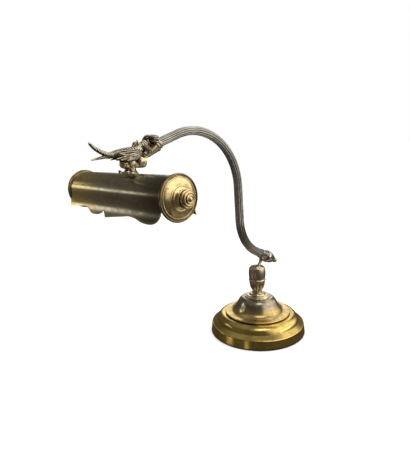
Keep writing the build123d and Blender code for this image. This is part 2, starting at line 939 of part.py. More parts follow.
def cap_nuts():
    """Hexagon nuts that clamp both caps from inside."""
    low = cap_rise - cap_wall - cap_nut_height
    nut = hexagon(cap_nut_width, cap_nut_height, nipple_radius + fit_gap)
    return Compound([cap_plane(side) * (up(low) * nut) for side in (-1, 1)])


# Lamp holder and bulb, along X inside the shade

def holder_plane():
    """Plane at the holder's back, its axis along +X."""
    back = -nipple_low(-1) - 4.4
    origin = shade_centre + Vector(-shade_length / 2 + back, 0, 0)
    return Plane(origin=origin, x_dir=(0, 1, 0), z_dir=(1, 0, 0))


def lamp_holder():
    tap = nipple_radius + fit_gap
    return holder_plane() * turned(
        (tap, 0),
        (7.4, 0),
        (7.4, 4.5),
        ((9.6, 6.0), (holder_radius - 0.4, 9.0)),
        (holder_radius, 10.0),
        (holder_radius, 17.0),
        (holder_radius - 0.7, 17.5),
        (holder_radius - 0.7, 19.0),
        (holder_radius, 19.5),
        (holder_radius, holder_length),
        (holder_bore, holder_length),
        (holder_bore, holder_length - holder_depth),
        (0, holder_length - holder_depth),
        (0, 5.5),
        (tap, 5.5),
    )


def bulb_cap():
    """Screw cap of the bulb, with its centre contact."""
    start = holder_length - holder_depth + running_gap
    collar = start + bulb_cap_length
    return holder_plane() * turned(
        (0, start), (2.2, start), (3.4, start + 2.2), (bulb_cap_radius, start + 4.4),
        (bulb_cap_radius, collar - 1.0), (bulb_cap_radius + 0.5, collar), (0, collar),
    )


def bulb_glass():
    """Tubular bulb: an open neck on the cap, a straight tube and a round end."""
    base = holder_length - holder_depth + running_gap + bulb_cap_length
    straight = base + bulb_length - bulb_radius
    inner = bulb_radius - bulb_wall
    half = sqrt(0.5)
    return holder_plane() * turned(
        (bulb_cap_radius, base),
        ((8.6, base + 5.0), (bulb_radius, base + 10.0)),
        (bulb_radius, straight),
        ((half * bulb_radius, straight + half * bulb_radius), (0, straight + bulb_radius)),
        (0, straight + inner),
        ((half * inner, straight + half * inner), (inner, straight)),
        (inner, base + 10.4),
        ((8.2, base + 5.8), (bulb_cap_radius - bulb_wall, base)),
    )


# Dragon, placed from the shade that it rides on

def at_figure(y, z):
    """A point in the arm's plane, measured in the dragon's unit from the middle of its chest."""
    return shade_centre + Vector(0, figure_back + y * figure_unit, figure_rise + z * figure_unit)


def tapered(stations, offset=0.0, side=0):
    """A form lofted through ovals. A station is y, z, slope, half width, half height and, for a
    limb, how much further out than the offset it stands."""
    sections = []
    for y, z, slope, wide, high, *out in stations:
        origin = at_figure(y, z) + Vector(side * (offset + sum(out)) * figure_unit, 0, 0)
        plane = Plane(origin=origin, x_dir=(1, 0, 0), z_dir=heading(slope))
        sections.append(plane * Ellipse(wide * figure_unit, high * figure_unit))
    return loft(sections)


def arm_room():
    """Space that the end of the arm needs beside the dragon as the shade turns and tilts."""
    plane = along(joint_centre, joint_axis)
    gap = 1.5
    body = plane * (up(joint_reach / 2 + 4) * Cylinder(sleeve_radius + gap, joint_reach))
    rim = plane * (up(joint_reach - 1) * Cylinder(sleeve_rim + gap, 6))
    beyond = along(tube_end, heading(high_heading - 180)) * (up(6) * Cylinder(tube_high_radius + gap, 16))
    return body + rim + beyond


def cap_room():
    return along(joint_centre, socket_axis) * (up(8 - socket_skirt) * Cylinder(socket_cap + 0.15, 17))


def belly_room():
    """The bracket's belly, so that the dragon lies on it without cutting into it."""
    room = Cylinder(belly_radius + 0.3, belly_length + 4)
    return along(joint_centre, socket_axis) * (up(-belly_length / 2) * room)


def dragon_body():
    """Trunk and neck of the dragon, lying over the belly of the bracket."""
    trunk = tapered([
        (-45.5, 9.8, -4, 2.4, 2.3),
        (-38.0, 10.6, 0, 5.6, 4.2),
        (-25.0, 11.6, 3, 8.0, 5.8),
        (-12.0, 12.8, 10, 8.2, 6.2),
        (-3.5, 15.8, 34, 6.6, 6.2),
        (3.5, 21.0, 42, 5.4, 5.8),
        (9.4, 26.4, 36, 4.8, 5.2),
    ])
    return largest(trunk - belly_room() - cap_room() - arm_room())


def dragon_head():
    """Head looking along the arm, with brows, two ears and a hollow over the arm's end."""
    skull = tapered([
        (6.6, 27.6, 22, 3.4, 3.0),
        (10.0, 28.2, 10, 5.8, 4.4),
        (16.0, 28.4, 0, 5.5, 4.3),
        (22.0, 28.6, -2, 4.5, 3.6),
        (26.6, 28.8, -4, 3.2, 2.6),
        (28.6, 28.8, -4, 2.0, 1.7),
    ])
    for side in (-1, 1):
        ear = Plane(origin=at_figure(10.4, 28.6) + Vector(side * 3.4, 0, 0), z_dir=(side * 0.4, -0.35, 0.84))
        skull += ear * (up(2.6) * Cone(2.2, 0.4, 5.6))
        brow = Plane(origin=at_figure(17.0, 30.2) + Vector(side * 3.0, 0, 0), z_dir=(side * 0.35, 0.3, 0.88))
        skull += brow * (up(0.8) * Cone(2.0, 0.5, 4.0))
    return largest(skull - dragon_body() - arm_room())


def dragon_crest():
    """Pointed crest on the shoulders."""
    corners = ((-16.0, 14.0), (-9.4, 26.8), (-5.4, 22.0), (3.0, 24.6), (3.0, 15.0))
    face = make_face(Polyline(*[at_figure(y, z) for y, z in corners], close=True))
    plate = extrude(face, crest_wall / 2, both=True, dir=(1, 0, 0))
    return largest(plate - dragon_body() - arm_room())


def wing_leaf(side):
    """One folded wing: a leaf with a scalloped hem that leans out over the flank."""
    plane = Plane(origin=at_figure(-23, 9.6) + Vector(side * 10.6, 0, 0), x_dir=(0, 1, 0), z_dir=(1, 0, 0))
    edges = [
        ThreePointArc((-19.5, 3.4), (-4.0, 8.0), (10.0, 6.6)),
        ThreePointArc((10.0, 6.6), (14.4, 3.0), (13.0, -3.0)),
        ThreePointArc((13.0, -3.0), (9.0, -2.8), (5.4, -5.6)),
        ThreePointArc((5.4, -5.6), (1.0, -3.4), (-4.6, -5.0)),
        ThreePointArc((-4.6, -5.0), (-8.6, -2.0), (-13.4, -2.4)),
        ThreePointArc((-13.4, -2.4), (-16.4, 1.2), (-19.5, 3.4)),
    ]
    leaf = extrude(make_face(edges), wing_wall / 2, both=True)
    return plane * Rot(-side * wing_lean, 0, 0) * leaf


def dragon_wings():
    room = dragon_body() + belly_room() + cap_room()
    return Compound([largest(wing_leaf(side) - room) for side in (-1, 1)])


def dragon_legs():
    """Four legs that clasp the bracket's belly."""
    room = dragon_body() + belly_room() + cap_room() + dragon_wings()
    legs = []
    for side in (-1, 1):
        hind = tapered([
            (-24.0, 8.4, -80, 2.4, 3.0, 0.0),
            (-26.5, 2.6, -85, 1.9, 2.4, 2.2),
            (-25.4, -3.4, -60, 1.5, 1.8, 2.2),
            (-22.4, -6.6, -30, 1.2, 1.1, 1.2),
        ], 7.4, side)
        fore = tapered([
            (-9.0, 8.0, -80, 2.2, 2.8, 0.0),
            (-11.4, 2.6, -90, 1.7, 2.2, 2.2),
            (-10.6, -3.2, -70, 1.4, 1.7, 2.0),
            (-8.2, -6.2, -40, 1.1, 1.1, 1.0),
        ], 7.6, side)
        legs += [largest(limb - room) for limb in (hind, fore)]
    return Compound(legs)


def dragon_tail():
    """Scaly tail that curls up, and the barb below it."""
    curl = tapered([
        (-44.5, 8.8, 176, 2.6, 2.6),
        (-52.0, 10.6, 164, 2.9, 3.0),
        (-60.0, 13.8, 154, 2.5, 2.7),
        (-67.5, 18.6, 140, 1.9, 2.0),
        (-73.2, 24.4, 130, 0.9, 1.0),
    ])
    barb = tapered([
        (-46.0, 7.8, 182, 1.6, 1.6),
        (-56.0, 6.8, 184, 1.9, 2.0),
        (-61.0, 6.2, 186, 1.2, 1.2),
        (-71.8, 5.0, 186, 0.8, 0.8),
    ])
    return (curl + barb) - dragon_body()


PARTS = {
    "felt_pad": felt_pad,
    "base_shell": base_shell,
    "base_weight": base_weight,
    "cord_bush": cord_bush,
    "base_dome": base_dome,
    "dome_collar": dome_collar,
    "base_rod": base_rod,
    "rod_washer": rod_washer,
    "rod_nut": rod_nut,
    "column_cup": column_cup,
    "cup_bead": cup_bead,
    "seat_spring": seat_spring,
    "socket_nut": socket_nut,
    "ball_seat": ball_seat,
    "column_ball": column_ball,
    "arm_elbow": arm_elbow,
    "elbow_dome": elbow_dome,
    "dome_button": dome_button,
    "arm_tube": arm_tube,
    "arm_sleeve": arm_sleeve,
    "shade_ball": shade_ball,
    "ball_pad": ball_pad,
    "socket_cap": socket_cap_ring,
    "shade_bracket": shade_bracket,
    "bracket_screws": bracket_screws,
    "bracket_nuts": bracket_nuts,
    "dragon_body": dragon_body,
    "dragon_head": dragon_head,
    "dragon_crest": dragon_crest,
    "dragon_wings": dragon_wings,
    "dragon_legs": dragon_legs,
    "dragon_tail": dragon_tail,
    "shade_shell": shade_shell,
    "end_cap_left": lambda: end_cap(-1),
    "end_cap_right": lambda: end_cap(1),
    "finial_left": lambda: finial(-1),
    "finial_right": lambda: finial(1),
    "cap_nipples": cap_nipples,
    "cap_nuts": cap_nuts,
    "lamp_holder": lamp_holder,
    "bulb_cap": bulb_cap,
    "bulb_glass": bulb_glass,
}

os.makedirs("parts", exist_ok=True)
for name, build in PARTS.items():
    export_step(build(), f"parts/{name}.step")
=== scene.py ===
import json
from math import atan2, cos, exp, pi, radians, sin, sqrt

import bmesh
import bpy
from mathutils import Matrix, Vector


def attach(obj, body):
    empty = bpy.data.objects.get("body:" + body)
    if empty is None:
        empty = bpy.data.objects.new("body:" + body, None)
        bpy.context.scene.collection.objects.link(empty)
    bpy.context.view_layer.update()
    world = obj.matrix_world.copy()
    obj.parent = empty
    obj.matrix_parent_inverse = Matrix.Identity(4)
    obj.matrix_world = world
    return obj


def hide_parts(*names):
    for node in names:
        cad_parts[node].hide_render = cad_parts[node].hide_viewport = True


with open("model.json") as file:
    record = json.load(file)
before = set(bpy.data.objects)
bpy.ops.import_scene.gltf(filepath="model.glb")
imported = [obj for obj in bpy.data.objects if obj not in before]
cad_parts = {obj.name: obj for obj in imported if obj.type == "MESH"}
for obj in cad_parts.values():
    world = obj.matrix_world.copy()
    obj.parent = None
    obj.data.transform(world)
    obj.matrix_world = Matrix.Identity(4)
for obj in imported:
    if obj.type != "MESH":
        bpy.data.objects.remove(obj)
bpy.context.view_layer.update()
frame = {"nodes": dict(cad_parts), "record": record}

# Desk lamp in brass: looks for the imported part. Sizes are in millimetres and degrees until a mesh
# is handed over, then they are turned to metres. The lamp stands at the origin, its shade lies
# along X at -Y. The figure's pieces are placed from FIGURE, its middle on the belly of the bracket.

MM = 0.001

# Places and sizes of the solids that the pieces follow
COLUMN = Vector((0, 0, 0))
SHADE_CENTRE = Vector((0, -254.152, 270.938))
JOINT_CENTRE = Vector((0, -226.952, 307.838))
ELBOW_CENTRE = Vector((0, 16.83, 134.55))
TUBE_START = 9.0
TUBE_END = Vector((0, -198.897, 329.915))
FIGURE = SHADE_CENTRE + Vector((0, 29.7, 36.5))
JOINT_SLOPE = 38.2
TAIL_SLOPE = 27.6
SOCKET_SLOPE = 5.0
SHADE_HALF = 101.5
SHADE_RADIUS = 23.8
SHADE_WALL = 0.9
FLARE_START = 8.0
FLARE_RADIUS = 33.0
SEAT_TOP = 33.5
BELL_TOP = 62.5
COLLAR_TOP = 70.3
CUP_TOP = 92.1
ROD_BORE = 5.05
NIPPLE_BORE = 5.05
CAP_TOP = 9.4
FLUTES = 14
REEDS = 12


# Sums on sockets

class Value:
    """A socket that takes part in plain sums; each sum adds its Math node."""

    def __init__(self, sheet, socket):
        self.sheet = sheet
        self.socket = socket

    def __add__(self, other):
        return self.sheet.math("ADD", self, other)

    __radd__ = __add__

    def __sub__(self, other):
        return self.sheet.math("SUBTRACT", self, other)

    def __rsub__(self, other):
        return self.sheet.math("SUBTRACT", other, self)

    def __mul__(self, other):
        return self.sheet.math("MULTIPLY", self, other)

    __rmul__ = __mul__

    def __truediv__(self, other):
        return self.sheet.math("DIVIDE", self, other)

    def __rtruediv__(self, other):
        return self.sheet.math("DIVIDE", other, self)

    def __pow__(self, other):
        return self.sheet.math("POWER", self, other)

    def __abs__(self):
        return self.sheet.math("ABSOLUTE", self, 0.0)


class Sheet:
    """A node tree filled in by expressions."""

    def __init__(self, tree):
        self.tree = tree

    def node(self, kind, settings=None, links=None, out=0):
        """One node: its settings first, then the value or link of each socket."""
        made = self.tree.nodes.new(kind)
        for key, setting in (settings or {}).items():
            if key == "stops":
                ramp = made.color_ramp.elements
                while len(ramp) < len(setting):
                    ramp.new(0.5)
                for stop, (position, colour) in zip(ramp, setting):
                    stop.position = position
                    stop.color = colour
            else:
                setattr(made, key, setting)
        for key, value in (links or {}).items():
            if isinstance(value, Value):
                self.tree.links.new(value.socket, made.inputs[key])
            else:
                made.inputs[key].default_value = value
        return None if out is None else Value(self, made.outputs[out])

    def math(self, operation, first, second=0.0):
        """One Math node."""
        return self.node("ShaderNodeMath", {"operation": operation}, {0: first, 1: second})

    def vector(self, operation, first, second):
        """One Vector Math node."""
        return self.node("ShaderNodeVectorMath", {"operation": operation}, {0: first, 1: second})

    def parts(self, vector):
        """The three numbers of a vector."""
        made = self.node("ShaderNodeSeparateXYZ", None, {0: vector})
        return [Value(self, socket) for socket in made.socket.node.outputs]

    def joined(self, x, y, z):
        """A vector of three numbers."""
        return self.node("ShaderNodeCombineXYZ", None, {0: x, 1: y, 2: z})

    def mix(self, share, first, second):
        """A colour between two."""
        settings = {"data_type": "RGBA", "clamp_factor": True}
        return self.node("ShaderNodeMix", settings, {0: share, 6: first, 7: second}, 2)

    def ease(self, value, low, high, start=0.0, end=1.0):
        """A number taken smoothly from one range to another."""
        settings = {"interpolation_type": "SMOOTHSTEP"}
        return self.node("ShaderNodeMapRange", settings, {0: value, 1: low, 2: high, 3: start, 4: end})

    def noise(self, place, scale, detail, rough):
        """Cloudy noise about 0.5."""
        links = {"Vector": place, "Scale": scale, "Detail": detail, "Roughness": rough}
        return self.node("ShaderNodeTexNoise", None, links)

    def place(self):
        """Object coordinates."""
        return self.node("ShaderNodeTexCoord", None, None, 3)

    def bump(self, strength, distance, height):
        """A normal tilted by the slope of a height."""
        links = {"Strength": strength, "Distance": distance, "Height": height}
        return self.node("ShaderNodeBump", None, links)


# Materials

def blank_material(name):
    """A new material, the sheet of its tree and its surface shader."""
    material = bpy.data.materials.new(name)
    material.use_nodes = True
    shader = material.node_tree.nodes["Principled BSDF"]
    return material, Sheet(material.node_tree), shader


def feed(sheet, shader, name, value):
    """Links a value to the shader's socket, or sets a constant on it."""
    if isinstance(value, Value):
        sheet.tree.links.new(value.socket, shader.inputs[name])
    else:
        shader.inputs[name].default_value = value


def lathe_rings(sheet, place, centre, across):
    """Coordinates that change only with radius and height about a turned piece's axis."""
    x, y, z = sheet.parts(sheet.vector("SUBTRACT", place, tuple(centre * MM)))
    if across:
        return sheet.joined((y * y + z * z) ** 0.5, x, 0.0)
    return sheet.joined((x * x + y * y) ** 0.5, z, 0.0)


def measured(sheet, place, measure):
    """Millimetres over a piece: along x or z, or out from the shade's axis."""
    if measure == "shade radius":
        x, y, z = sheet.parts(sheet.vector("SUBTRACT", place, tuple(SHADE_CENTRE * MM)))
        return (y * y + z * z) ** 0.5 / MM
    x, y, z = sheet.parts(place)
    return {"x": x, "z": z}[measure] / MM


def metal(name, bright, dull, rough, patch=34.0, cover=0.5, crisp=0.16, grain=None, wear_and_sheen=0.0,
          edge_tone=None, hollow_shadow=0.0, reach=3.0, pits=0.04, shadow_colour=(0.02, 0.016, 0.01), other=None,
          shaded=None):
    """Brass or another metal: two tones in soft patches, fine grain, edges brightened partly by
    wear and partly as a painted highlight, and painted shade in its hollows.

    rough is the roughness of the bright and of the dull tone. patch, cover and crisp are the
    patches' scale, the share of the dull tone and the width of the change between the two. grain
    is the turning's direction. The edges brighten towards edge_tone, partly as wear and partly as
    a painted highlight. The hollows take painted shade: what is nearer than reach is darkened.
    other is a measure with its low and high end, and the two tones that the metal has past it.
    shaded is a measure with its low and high end, and how much painted shade darkens the metal
    past it."""
    material, sheet, shader = blank_material(name)
    place = sheet.place()
    cloud = sheet.noise(place, patch, 5.0, 0.6)
    speck = sheet.noise(place, 1300.0, 3.0, 0.6)
    smear = sheet.noise(sheet.vector("MULTIPLY", place, (1.0, 1.0, 2.6)), patch * 3.1, 4.0, 0.65)
    share = sheet.ease(cloud * 0.65 + smear * 0.35, cover - crisp, cover + crisp)
    height = speck * pits + cloud * 0.1
    if grain:
        if grain == "ring":
            lines = sheet.noise(lathe_rings(sheet, place, COLUMN, False), 900.0, 3.0, 0.6)
        elif grain == "cap":
            lines = sheet.noise(lathe_rings(sheet, place, SHADE_CENTRE, True), 900.0, 3.0, 0.6)
        else:
            lines = sheet.noise(sheet.vector("MULTIPLY", place, (0.03, 1.0, 1.0)), 520.0, 3.0, 0.6)
        share = share + (lines - 0.5) * 0.3
        height = height + lines * 0.15
    colour = sheet.mix(share, (*dull, 1), (*bright, 1))
    if other:
        measure, low, high, other_bright, other_dull = other
        past = sheet.mix(share, (*other_dull, 1), (*other_bright, 1))
        way = measured(sheet, place, measure) + (cloud - 0.5) * (high - low)
        colour = sheet.mix(sheet.ease(way, low, high), colour, past)
    # Painted shade: the metal is darkened past a measure
    if shaded:
        measure, low, high, strength = shaded
        dark = sheet.ease(measured(sheet, place, measure), low, high) * strength
        colour = sheet.mix(dark, colour, (*shadow_colour, 1))
    gloss = rough[0] + (1 - share) * (rough[1] - rough[0]) + (speck - 0.5) * 0.05
    # Edges brightened, partly as wear and partly as a painted highlight
    if wear_and_sheen:
        edge = sheet.node("ShaderNodeNewGeometry", None, None, 7)
        shine = sheet.ease(edge, 0.502, 0.545) * wear_and_sheen
        colour = sheet.mix(shine, colour, (*(edge_tone or bright), 1))
        gloss = gloss - shine * 0.06
    # Painted shade in hollows: darkened where ambient occlusion finds nearby surfaces
    if hollow_shadow:
        settings = {"samples": 6, "only_local": True}
        nook = sheet.node("ShaderNodeAmbientOcclusion", settings, {"Distance": reach * MM}, 1)
        hollow_shadow_share = (1 - sheet.ease(nook, 0.3, 0.88)) * hollow_shadow
        colour = sheet.mix(hollow_shadow_share, colour, (*shadow_colour, 1))
        gloss = gloss + hollow_shadow_share * 0.3
    feed(sheet, shader, "Base Color", colour)
    feed(sheet, shader, "Metallic", 1.0)
    feed(sheet, shader, "Roughness", gloss)
    feed(sheet, shader, "Normal", sheet.bump(0.12, 0.0004, height))
    return material


def felt_material():
    """Black felt: matted fibres with a little pale lint."""
    material, sheet, shader = blank_material("Black felt")
    place = sheet.place()
    fibre = sheet.noise(place, 2600.0, 5.0, 0.75)
    lint = sheet.noise(place, 420.0, 3.0, 0.6)
    share = fibre * 0.6 + lint * 0.3
    tone = sheet.mix(share, (0.008, 0.008, 0.009, 1), (0.06, 0.058, 0.055, 1))
    feed(sheet, shader, "Base Color", tone)
    feed(sheet, shader, "Roughness", 0.92 + fibre * 0.06)
    feed(sheet, shader, "Sheen Weight", 0.3)
    feed(sheet, shader, "Normal", sheet.bump(0.7, 0.0005, fibre))
    return material


def plastic(name, tone, shine, rough):
    """Moulded plastic with a faint orange-peel skin and a little dust."""
    material, sheet, shader = blank_material(name)
    place = sheet.place()
    skin = sheet.noise(place, 700.0, 3.0, 0.5)
    dust = sheet.noise(place, 60.0, 5.0, 0.6)
    feed(sheet, shader, "Base Color", sheet.mix(dust * 0.7, (*tone, 1), (*shine, 1)))
    feed(sheet, shader, "Roughness", rough + dust * 0.15)
    feed(sheet, shader, "Normal", sheet.bump(0.12, 0.0002, skin))
    return material


def glass_material():
    """Clear glass with a faint haze."""
    material, sheet, shader = blank_material("Clear bulb glass")
    haze = sheet.noise(sheet.place(), 90.0, 4.0, 0.6)
    feed(sheet, shader, "Base Color", sheet.mix(haze, (0.97, 0.97, 0.95, 1), (0.9, 0.9, 0.87, 1)))
    feed(sheet, shader, "Roughness", 0.02 + haze * 0.05)
    feed(sheet, shader, "Transmission Weight", 1.0)
    feed(sheet, shader, "IOR", 1.47)
    return material


# Colour of the painted shade in the cast figure's hollows
HOLLOW_SHADOW_COLOUR = (0.01, 0.009, 0.007)

# A finish for each material slot
FINISH = {
    "foot_brass": metal(
        "Polished foot brass", (0.07, 0.05, 0.02), (0.03, 0.022, 0.01), (0.12, 0.26), grain="ring",
        hollow_shadow=0.6, reach=2.0, other=("z", 2.0, 3.6, (0.84, 0.62, 0.2), (0.5, 0.35, 0.1))),
    "bell_brass": metal(
        "Bell brass", (0.9, 0.68, 0.27), (0.46, 0.34, 0.13), (0.15, 0.28), grain="ring", wear_and_sheen=0.4,
        hollow_shadow=0.8, reach=2.5, other=("z", 42.0, 53.0, (0.52, 0.46, 0.35), (0.26, 0.225, 0.165))),
    "aged_brass": metal(
        "Aged arm brass", (0.52, 0.5, 0.465), (0.28, 0.268, 0.243), (0.16, 0.28), wear_and_sheen=0.6,
        edge_tone=(0.86, 0.84, 0.79), hollow_shadow=1.0, reach=1.3, pits=0.02),
    "joint_brass": metal(
        "Joint brass", (0.72, 0.62, 0.42), (0.4, 0.33, 0.22), (0.16, 0.32), wear_and_sheen=0.6, hollow_shadow=0.9,
        reach=2.4),
    # The shade's skin is darkened towards its +X end as painted shade
    "shade_brass": metal(
        "Dark shade brass", (1.0, 0.8, 0.34), (0.74, 0.56, 0.2), (0.14, 0.26), grain="long", wear_and_sheen=0.5,
        other=("x", -84.0, -4.0, (0.66, 0.59, 0.42), (0.34, 0.3, 0.2)), shaded=("x", 20.0, 112.0, 0.7)),
    "cap_brass": metal(
        "Cap brass", (0.92, 0.73, 0.39), (0.4, 0.285, 0.125), (0.13, 0.28), patch=44.0, crisp=0.11,
        grain="cap", wear_and_sheen=0.4, hollow_shadow=0.9, reach=2.4,
        other=("shade radius", 23.4, 24.6, (0.27, 0.23, 0.15), (0.12, 0.1, 0.065))),
    # The figure's edges are brightened nearly to white, partly as wear and partly as a painted highlight;
    # its hollows take painted shade
    "figure_brass": metal(
        "Cast figure brass", (0.64, 0.56, 0.39), (0.085, 0.072, 0.048), (0.07, 0.2), patch=190.0,
        cover=0.6, crisp=0.08, wear_and_sheen=1.0, edge_tone=(1.0, 0.94, 0.76), hollow_shadow=1.0, reach=2.3,
        shadow_colour=HOLLOW_SHADOW_COLOUR),
    "iron": metal("Cast iron", (0.12, 0.115, 0.11), (0.05, 0.045, 0.04), (0.5, 0.8), pits=0.8),
    "steel": metal("Plain steel", (0.62, 0.62, 0.62), (0.4, 0.39, 0.38), (0.25, 0.4)),
    "felt": felt_material(),
    "moulding": plastic("Black moulding", (0.02, 0.02, 0.02), (0.06, 0.06, 0.06), 0.5),
    "holder": plastic("Brown holder", (0.03, 0.018, 0.012), (0.06, 0.04, 0.03), 0.22),
    "bulb_metal": metal("Bulb cap metal", (0.78, 0.78, 0.76), (0.6, 0.6, 0.58), (0.2, 0.32)),
    "bulb_glass": glass_material(),
}

# Nodes with a finish of their own; the top of the socket nut carries a painted highlight
OWN_FINISH = {
    "elbow_dome": metal(
        "Elbow brass", (0.68, 0.63, 0.56), (0.36, 0.33, 0.29), (0.14, 0.28), wear_and_sheen=0.6, hollow_shadow=0.9,
        reach=2.4),
    "dragon_wings": metal(
        "Wing brass", (0.72, 0.63, 0.45), (0.12, 0.1, 0.07), (0.07, 0.2), patch=150.0, cover=0.56,
        crisp=0.08, wear_and_sheen=1.0, edge_tone=(1.0, 0.94, 0.76), hollow_shadow=1.0, reach=2.0, shadow_colour=HOLLOW_SHADOW_COLOUR,
        other=("z", 316.5, 319.5, (0.36, 0.3, 0.21), (0.07, 0.058, 0.04))),
    "shade_bracket": metal(
        "Bracket brass", (0.82, 0.71, 0.48), (0.2, 0.165, 0.1), (0.08, 0.22), patch=150.0, crisp=0.08,
        wear_and_sheen=1.0, edge_tone=(1.0, 0.9, 0.66), hollow_shadow=1.0, reach=2.6, shadow_colour=HOLLOW_SHADOW_COLOUR),
    "dome_collar": metal(
        "Bright collar brass", (0.78, 0.68, 0.48), (0.32, 0.265, 0.17), (0.12, 0.24), grain="ring",
        wear_and_sheen=0.6, edge_tone=(0.95, 0.86, 0.64), hollow_shadow=1.0, reach=2.2),
    "socket_cap": metal(
        "Ball cap brass", (0.88, 0.73, 0.43), (0.45, 0.35, 0.18), (0.12, 0.24), wear_and_sheen=0.5, hollow_shadow=0.9,
        reach=2.4),
    "cup_bead": metal(
        "Bright bead brass", (0.88, 0.78, 0.58), (0.5, 0.42, 0.3), (0.12, 0.24), hollow_shadow=0.9, reach=2.0),
    # The nut's top is painted lighter and more golden: a painted highlight
    "socket_nut": metal(
        "Nut brass", (0.7, 0.61, 0.5), (0.34, 0.285, 0.235), (0.24, 0.38), grain="ring", wear_and_sheen=0.4,
        other=("z", 108.0, 118.0, (0.86, 0.76, 0.52), (0.5, 0.42, 0.28))),
}


def finish_of(slot, node=None):
    """The node's own finish, or else its slot's."""
    return OWN_FINISH.get(node, FINISH[slot])


for part in frame["record"]["subparts"]:
    shown = frame["nodes"][part["node"]]
    shown.data.materials.clear()
    shown.data.materials.append(finish_of(part["material_slot"], part["node"]))


# Meshes

def outline_points(start, *steps, fine=9):
    """Points of an outline: a step is a point, or a pair (through, end) that makes an arc."""
    points = [start]
    for step in steps:
        if not isinstance(step[0], tuple):
            points.append(step)
            continue
        (ax, ay), (bx, by), (cx, cy) = points[-1], step[0], step[1]
        turn = 2 * (ax * (by - cy) + bx * (cy - ay) + cx * (ay - by))
        if abs(turn) < 1e-6:
            points.append(step[1])
            continue
        a2, b2, c2 = ax * ax + ay * ay, bx * bx + by * by, cx * cx + cy * cy
        ox = (a2 * (by - cy) + b2 * (cy - ay) + c2 * (ay - by)) / turn
        oy = (a2 * (cx - bx) + b2 * (ax - cx) + c2 * (bx - ax)) / turn
        first, middle, last = (atan2(y - oy, x - ox) for x, y in ((ax, ay), (bx, by), (cx, cy)))
        while middle - first > pi:
            middle -= 2 * pi
        while middle - first < -pi:
            middle += 2 * pi
        while last - middle > pi:
            last -= 2 * pi
        while last - middle < -pi:
            last += 2 * pi
        radius = sqrt((ax - ox) ** 2 + (ay - oy) ** 2)
        for i in range(1, fine + 1):
            angle = first + (last - first) * i / fine
            points.append((ox + radius * cos(angle), oy + radius * sin(angle)))
    return points


def heading(angle):
    """The direction in the plane of the arm that rises by an angle from +Y."""
    return Vector((0, cos(radians(angle)), sin(radians(angle))))


def seat(origin, axis, side=(1, 0, 0)):
    """Where a turned piece stands: its foot, the direction of its axis and its first side."""
    axis = Vector(axis).normalized()
    side = Vector(side)
    side = (side - axis * side.dot(axis)).normalized()
    turn = Matrix((side, axis.cross(side), axis)).transposed()
    return Matrix.Translation(Vector(origin)) @ turn.to_4x4()


def turned(shape, place, points, sides):
    """Spins an outline of (radius, height) about its axis. Off the axis, its ends are joined."""
    rings = []
    for radius, height in points:
        if radius < 1e-4:
            rings.append([shape.verts.new(place @ Vector((0, 0, height)))])
            continue
        ring = []
        for i in range(sides):
            turn = 2 * pi * i / sides
            spot = Vector((radius * cos(turn), radius * sin(turn), height))
            ring.append(shape.verts.new(place @ spot))
        rings.append(ring)
    if min(points[0][0], points[-1][0]) > 1e-4:
        rings.append(rings[0])
    for low, high in zip(rings, rings[1:]):
        for i in range(sides):
            j = (i + 1) % sides
            corners = [low[i % len(low)], low[j % len(low)], high[j % len(high)], high[i % len(high)]]
            corners = list(dict.fromkeys(corners))
            if len(corners) > 2:
                shape.faces.new(corners)


def curve_point(stations, where):
    """Smooth value between stations, each a tuple of numbers."""
    last = len(stations) - 1
    i = min(int(where), last - 1)
    t = where - i
    a, b, c, d = (Vector(stations[min(max(k, 0), last)]) for k in (i - 1, i, i + 1, i + 2))
    square, cube = 2 * a - 5 * b + 4 * c - d, 3 * b - a - 3 * c + d
    return 0.5 * ((2 * b) + (c - a) * t + square * t * t + cube * t * t * t)


def limb(shape, stations, sides, steps=7, lean=(1, 0, 0)):
    """Closed smooth form through oval stations (x, y, z, half width, half height)."""
    count = (len(stations) - 1) * steps
    line = [curve_point(stations, i / steps) for i in range(count + 1)]
    rings = []
    for i, row in enumerate(line):
        ahead, behind = line[min(i + 1, count)], line[max(i - 1, 0)]
        way = Vector(ahead[:3]) - Vector(behind[:3])
        way.normalize()
        across = Vector(lean) - way * way.dot(Vector(lean))
        across.normalize()
        over = way.cross(across)
        spot = FIGURE + Vector(row[:3])
        wide, high = max(row[3], 0.05), max(row[4], 0.05)
        ring = []
        for k in range(sides):
            turn = 2 * pi * k / sides
            ring.append(shape.verts.new(spot + across * wide * cos(turn) + over * high * sin(turn)))
        rings.append(ring)
        if i == 0:
            start = shape.verts.new(spot - way * min(wide, high) * 0.5)
        if i == count:
            end = shape.verts.new(spot + way * min(wide, high) * 0.5)
    for low, high in zip(rings, rings[1:]):
        for k in range(sides):
            m = (k + 1) % sides
            shape.faces.new((low[k], low[m], high[m], high[k]))
    for k in range(sides):
        m = (k + 1) % sides
        shape.faces.new((start, rings[0][m], rings[0][k]))
        shape.faces.new((end, rings[-1][k], rings[-1][m]))


def paired(shape, *forms, lean=(1, 0, 0)):
    """Forms on both sides of the figure: each is its count of sides and its stations at +X."""
    for side in (-1, 1):
        for sides, stations in forms:
            mirrored = [(side * x, *rest) for x, *rest in stations]
            limb(shape, mirrored, sides, lean=(side * lean[0], *lean[1:]))


def knobs(shape, *forms):
    """Small round forms on both sides of the figure: each is its centre at +X and its three radii."""
    for side in (-1, 1):
        for (x, y, z), radii in forms:
            place = Matrix.Translation(FIGURE + Vector((side * x, y, z))) @ Matrix.Diagonal((*radii, 1))
            bmesh.ops.create_icosphere(shape, subdivisions=3, radius=1.0, matrix=place)


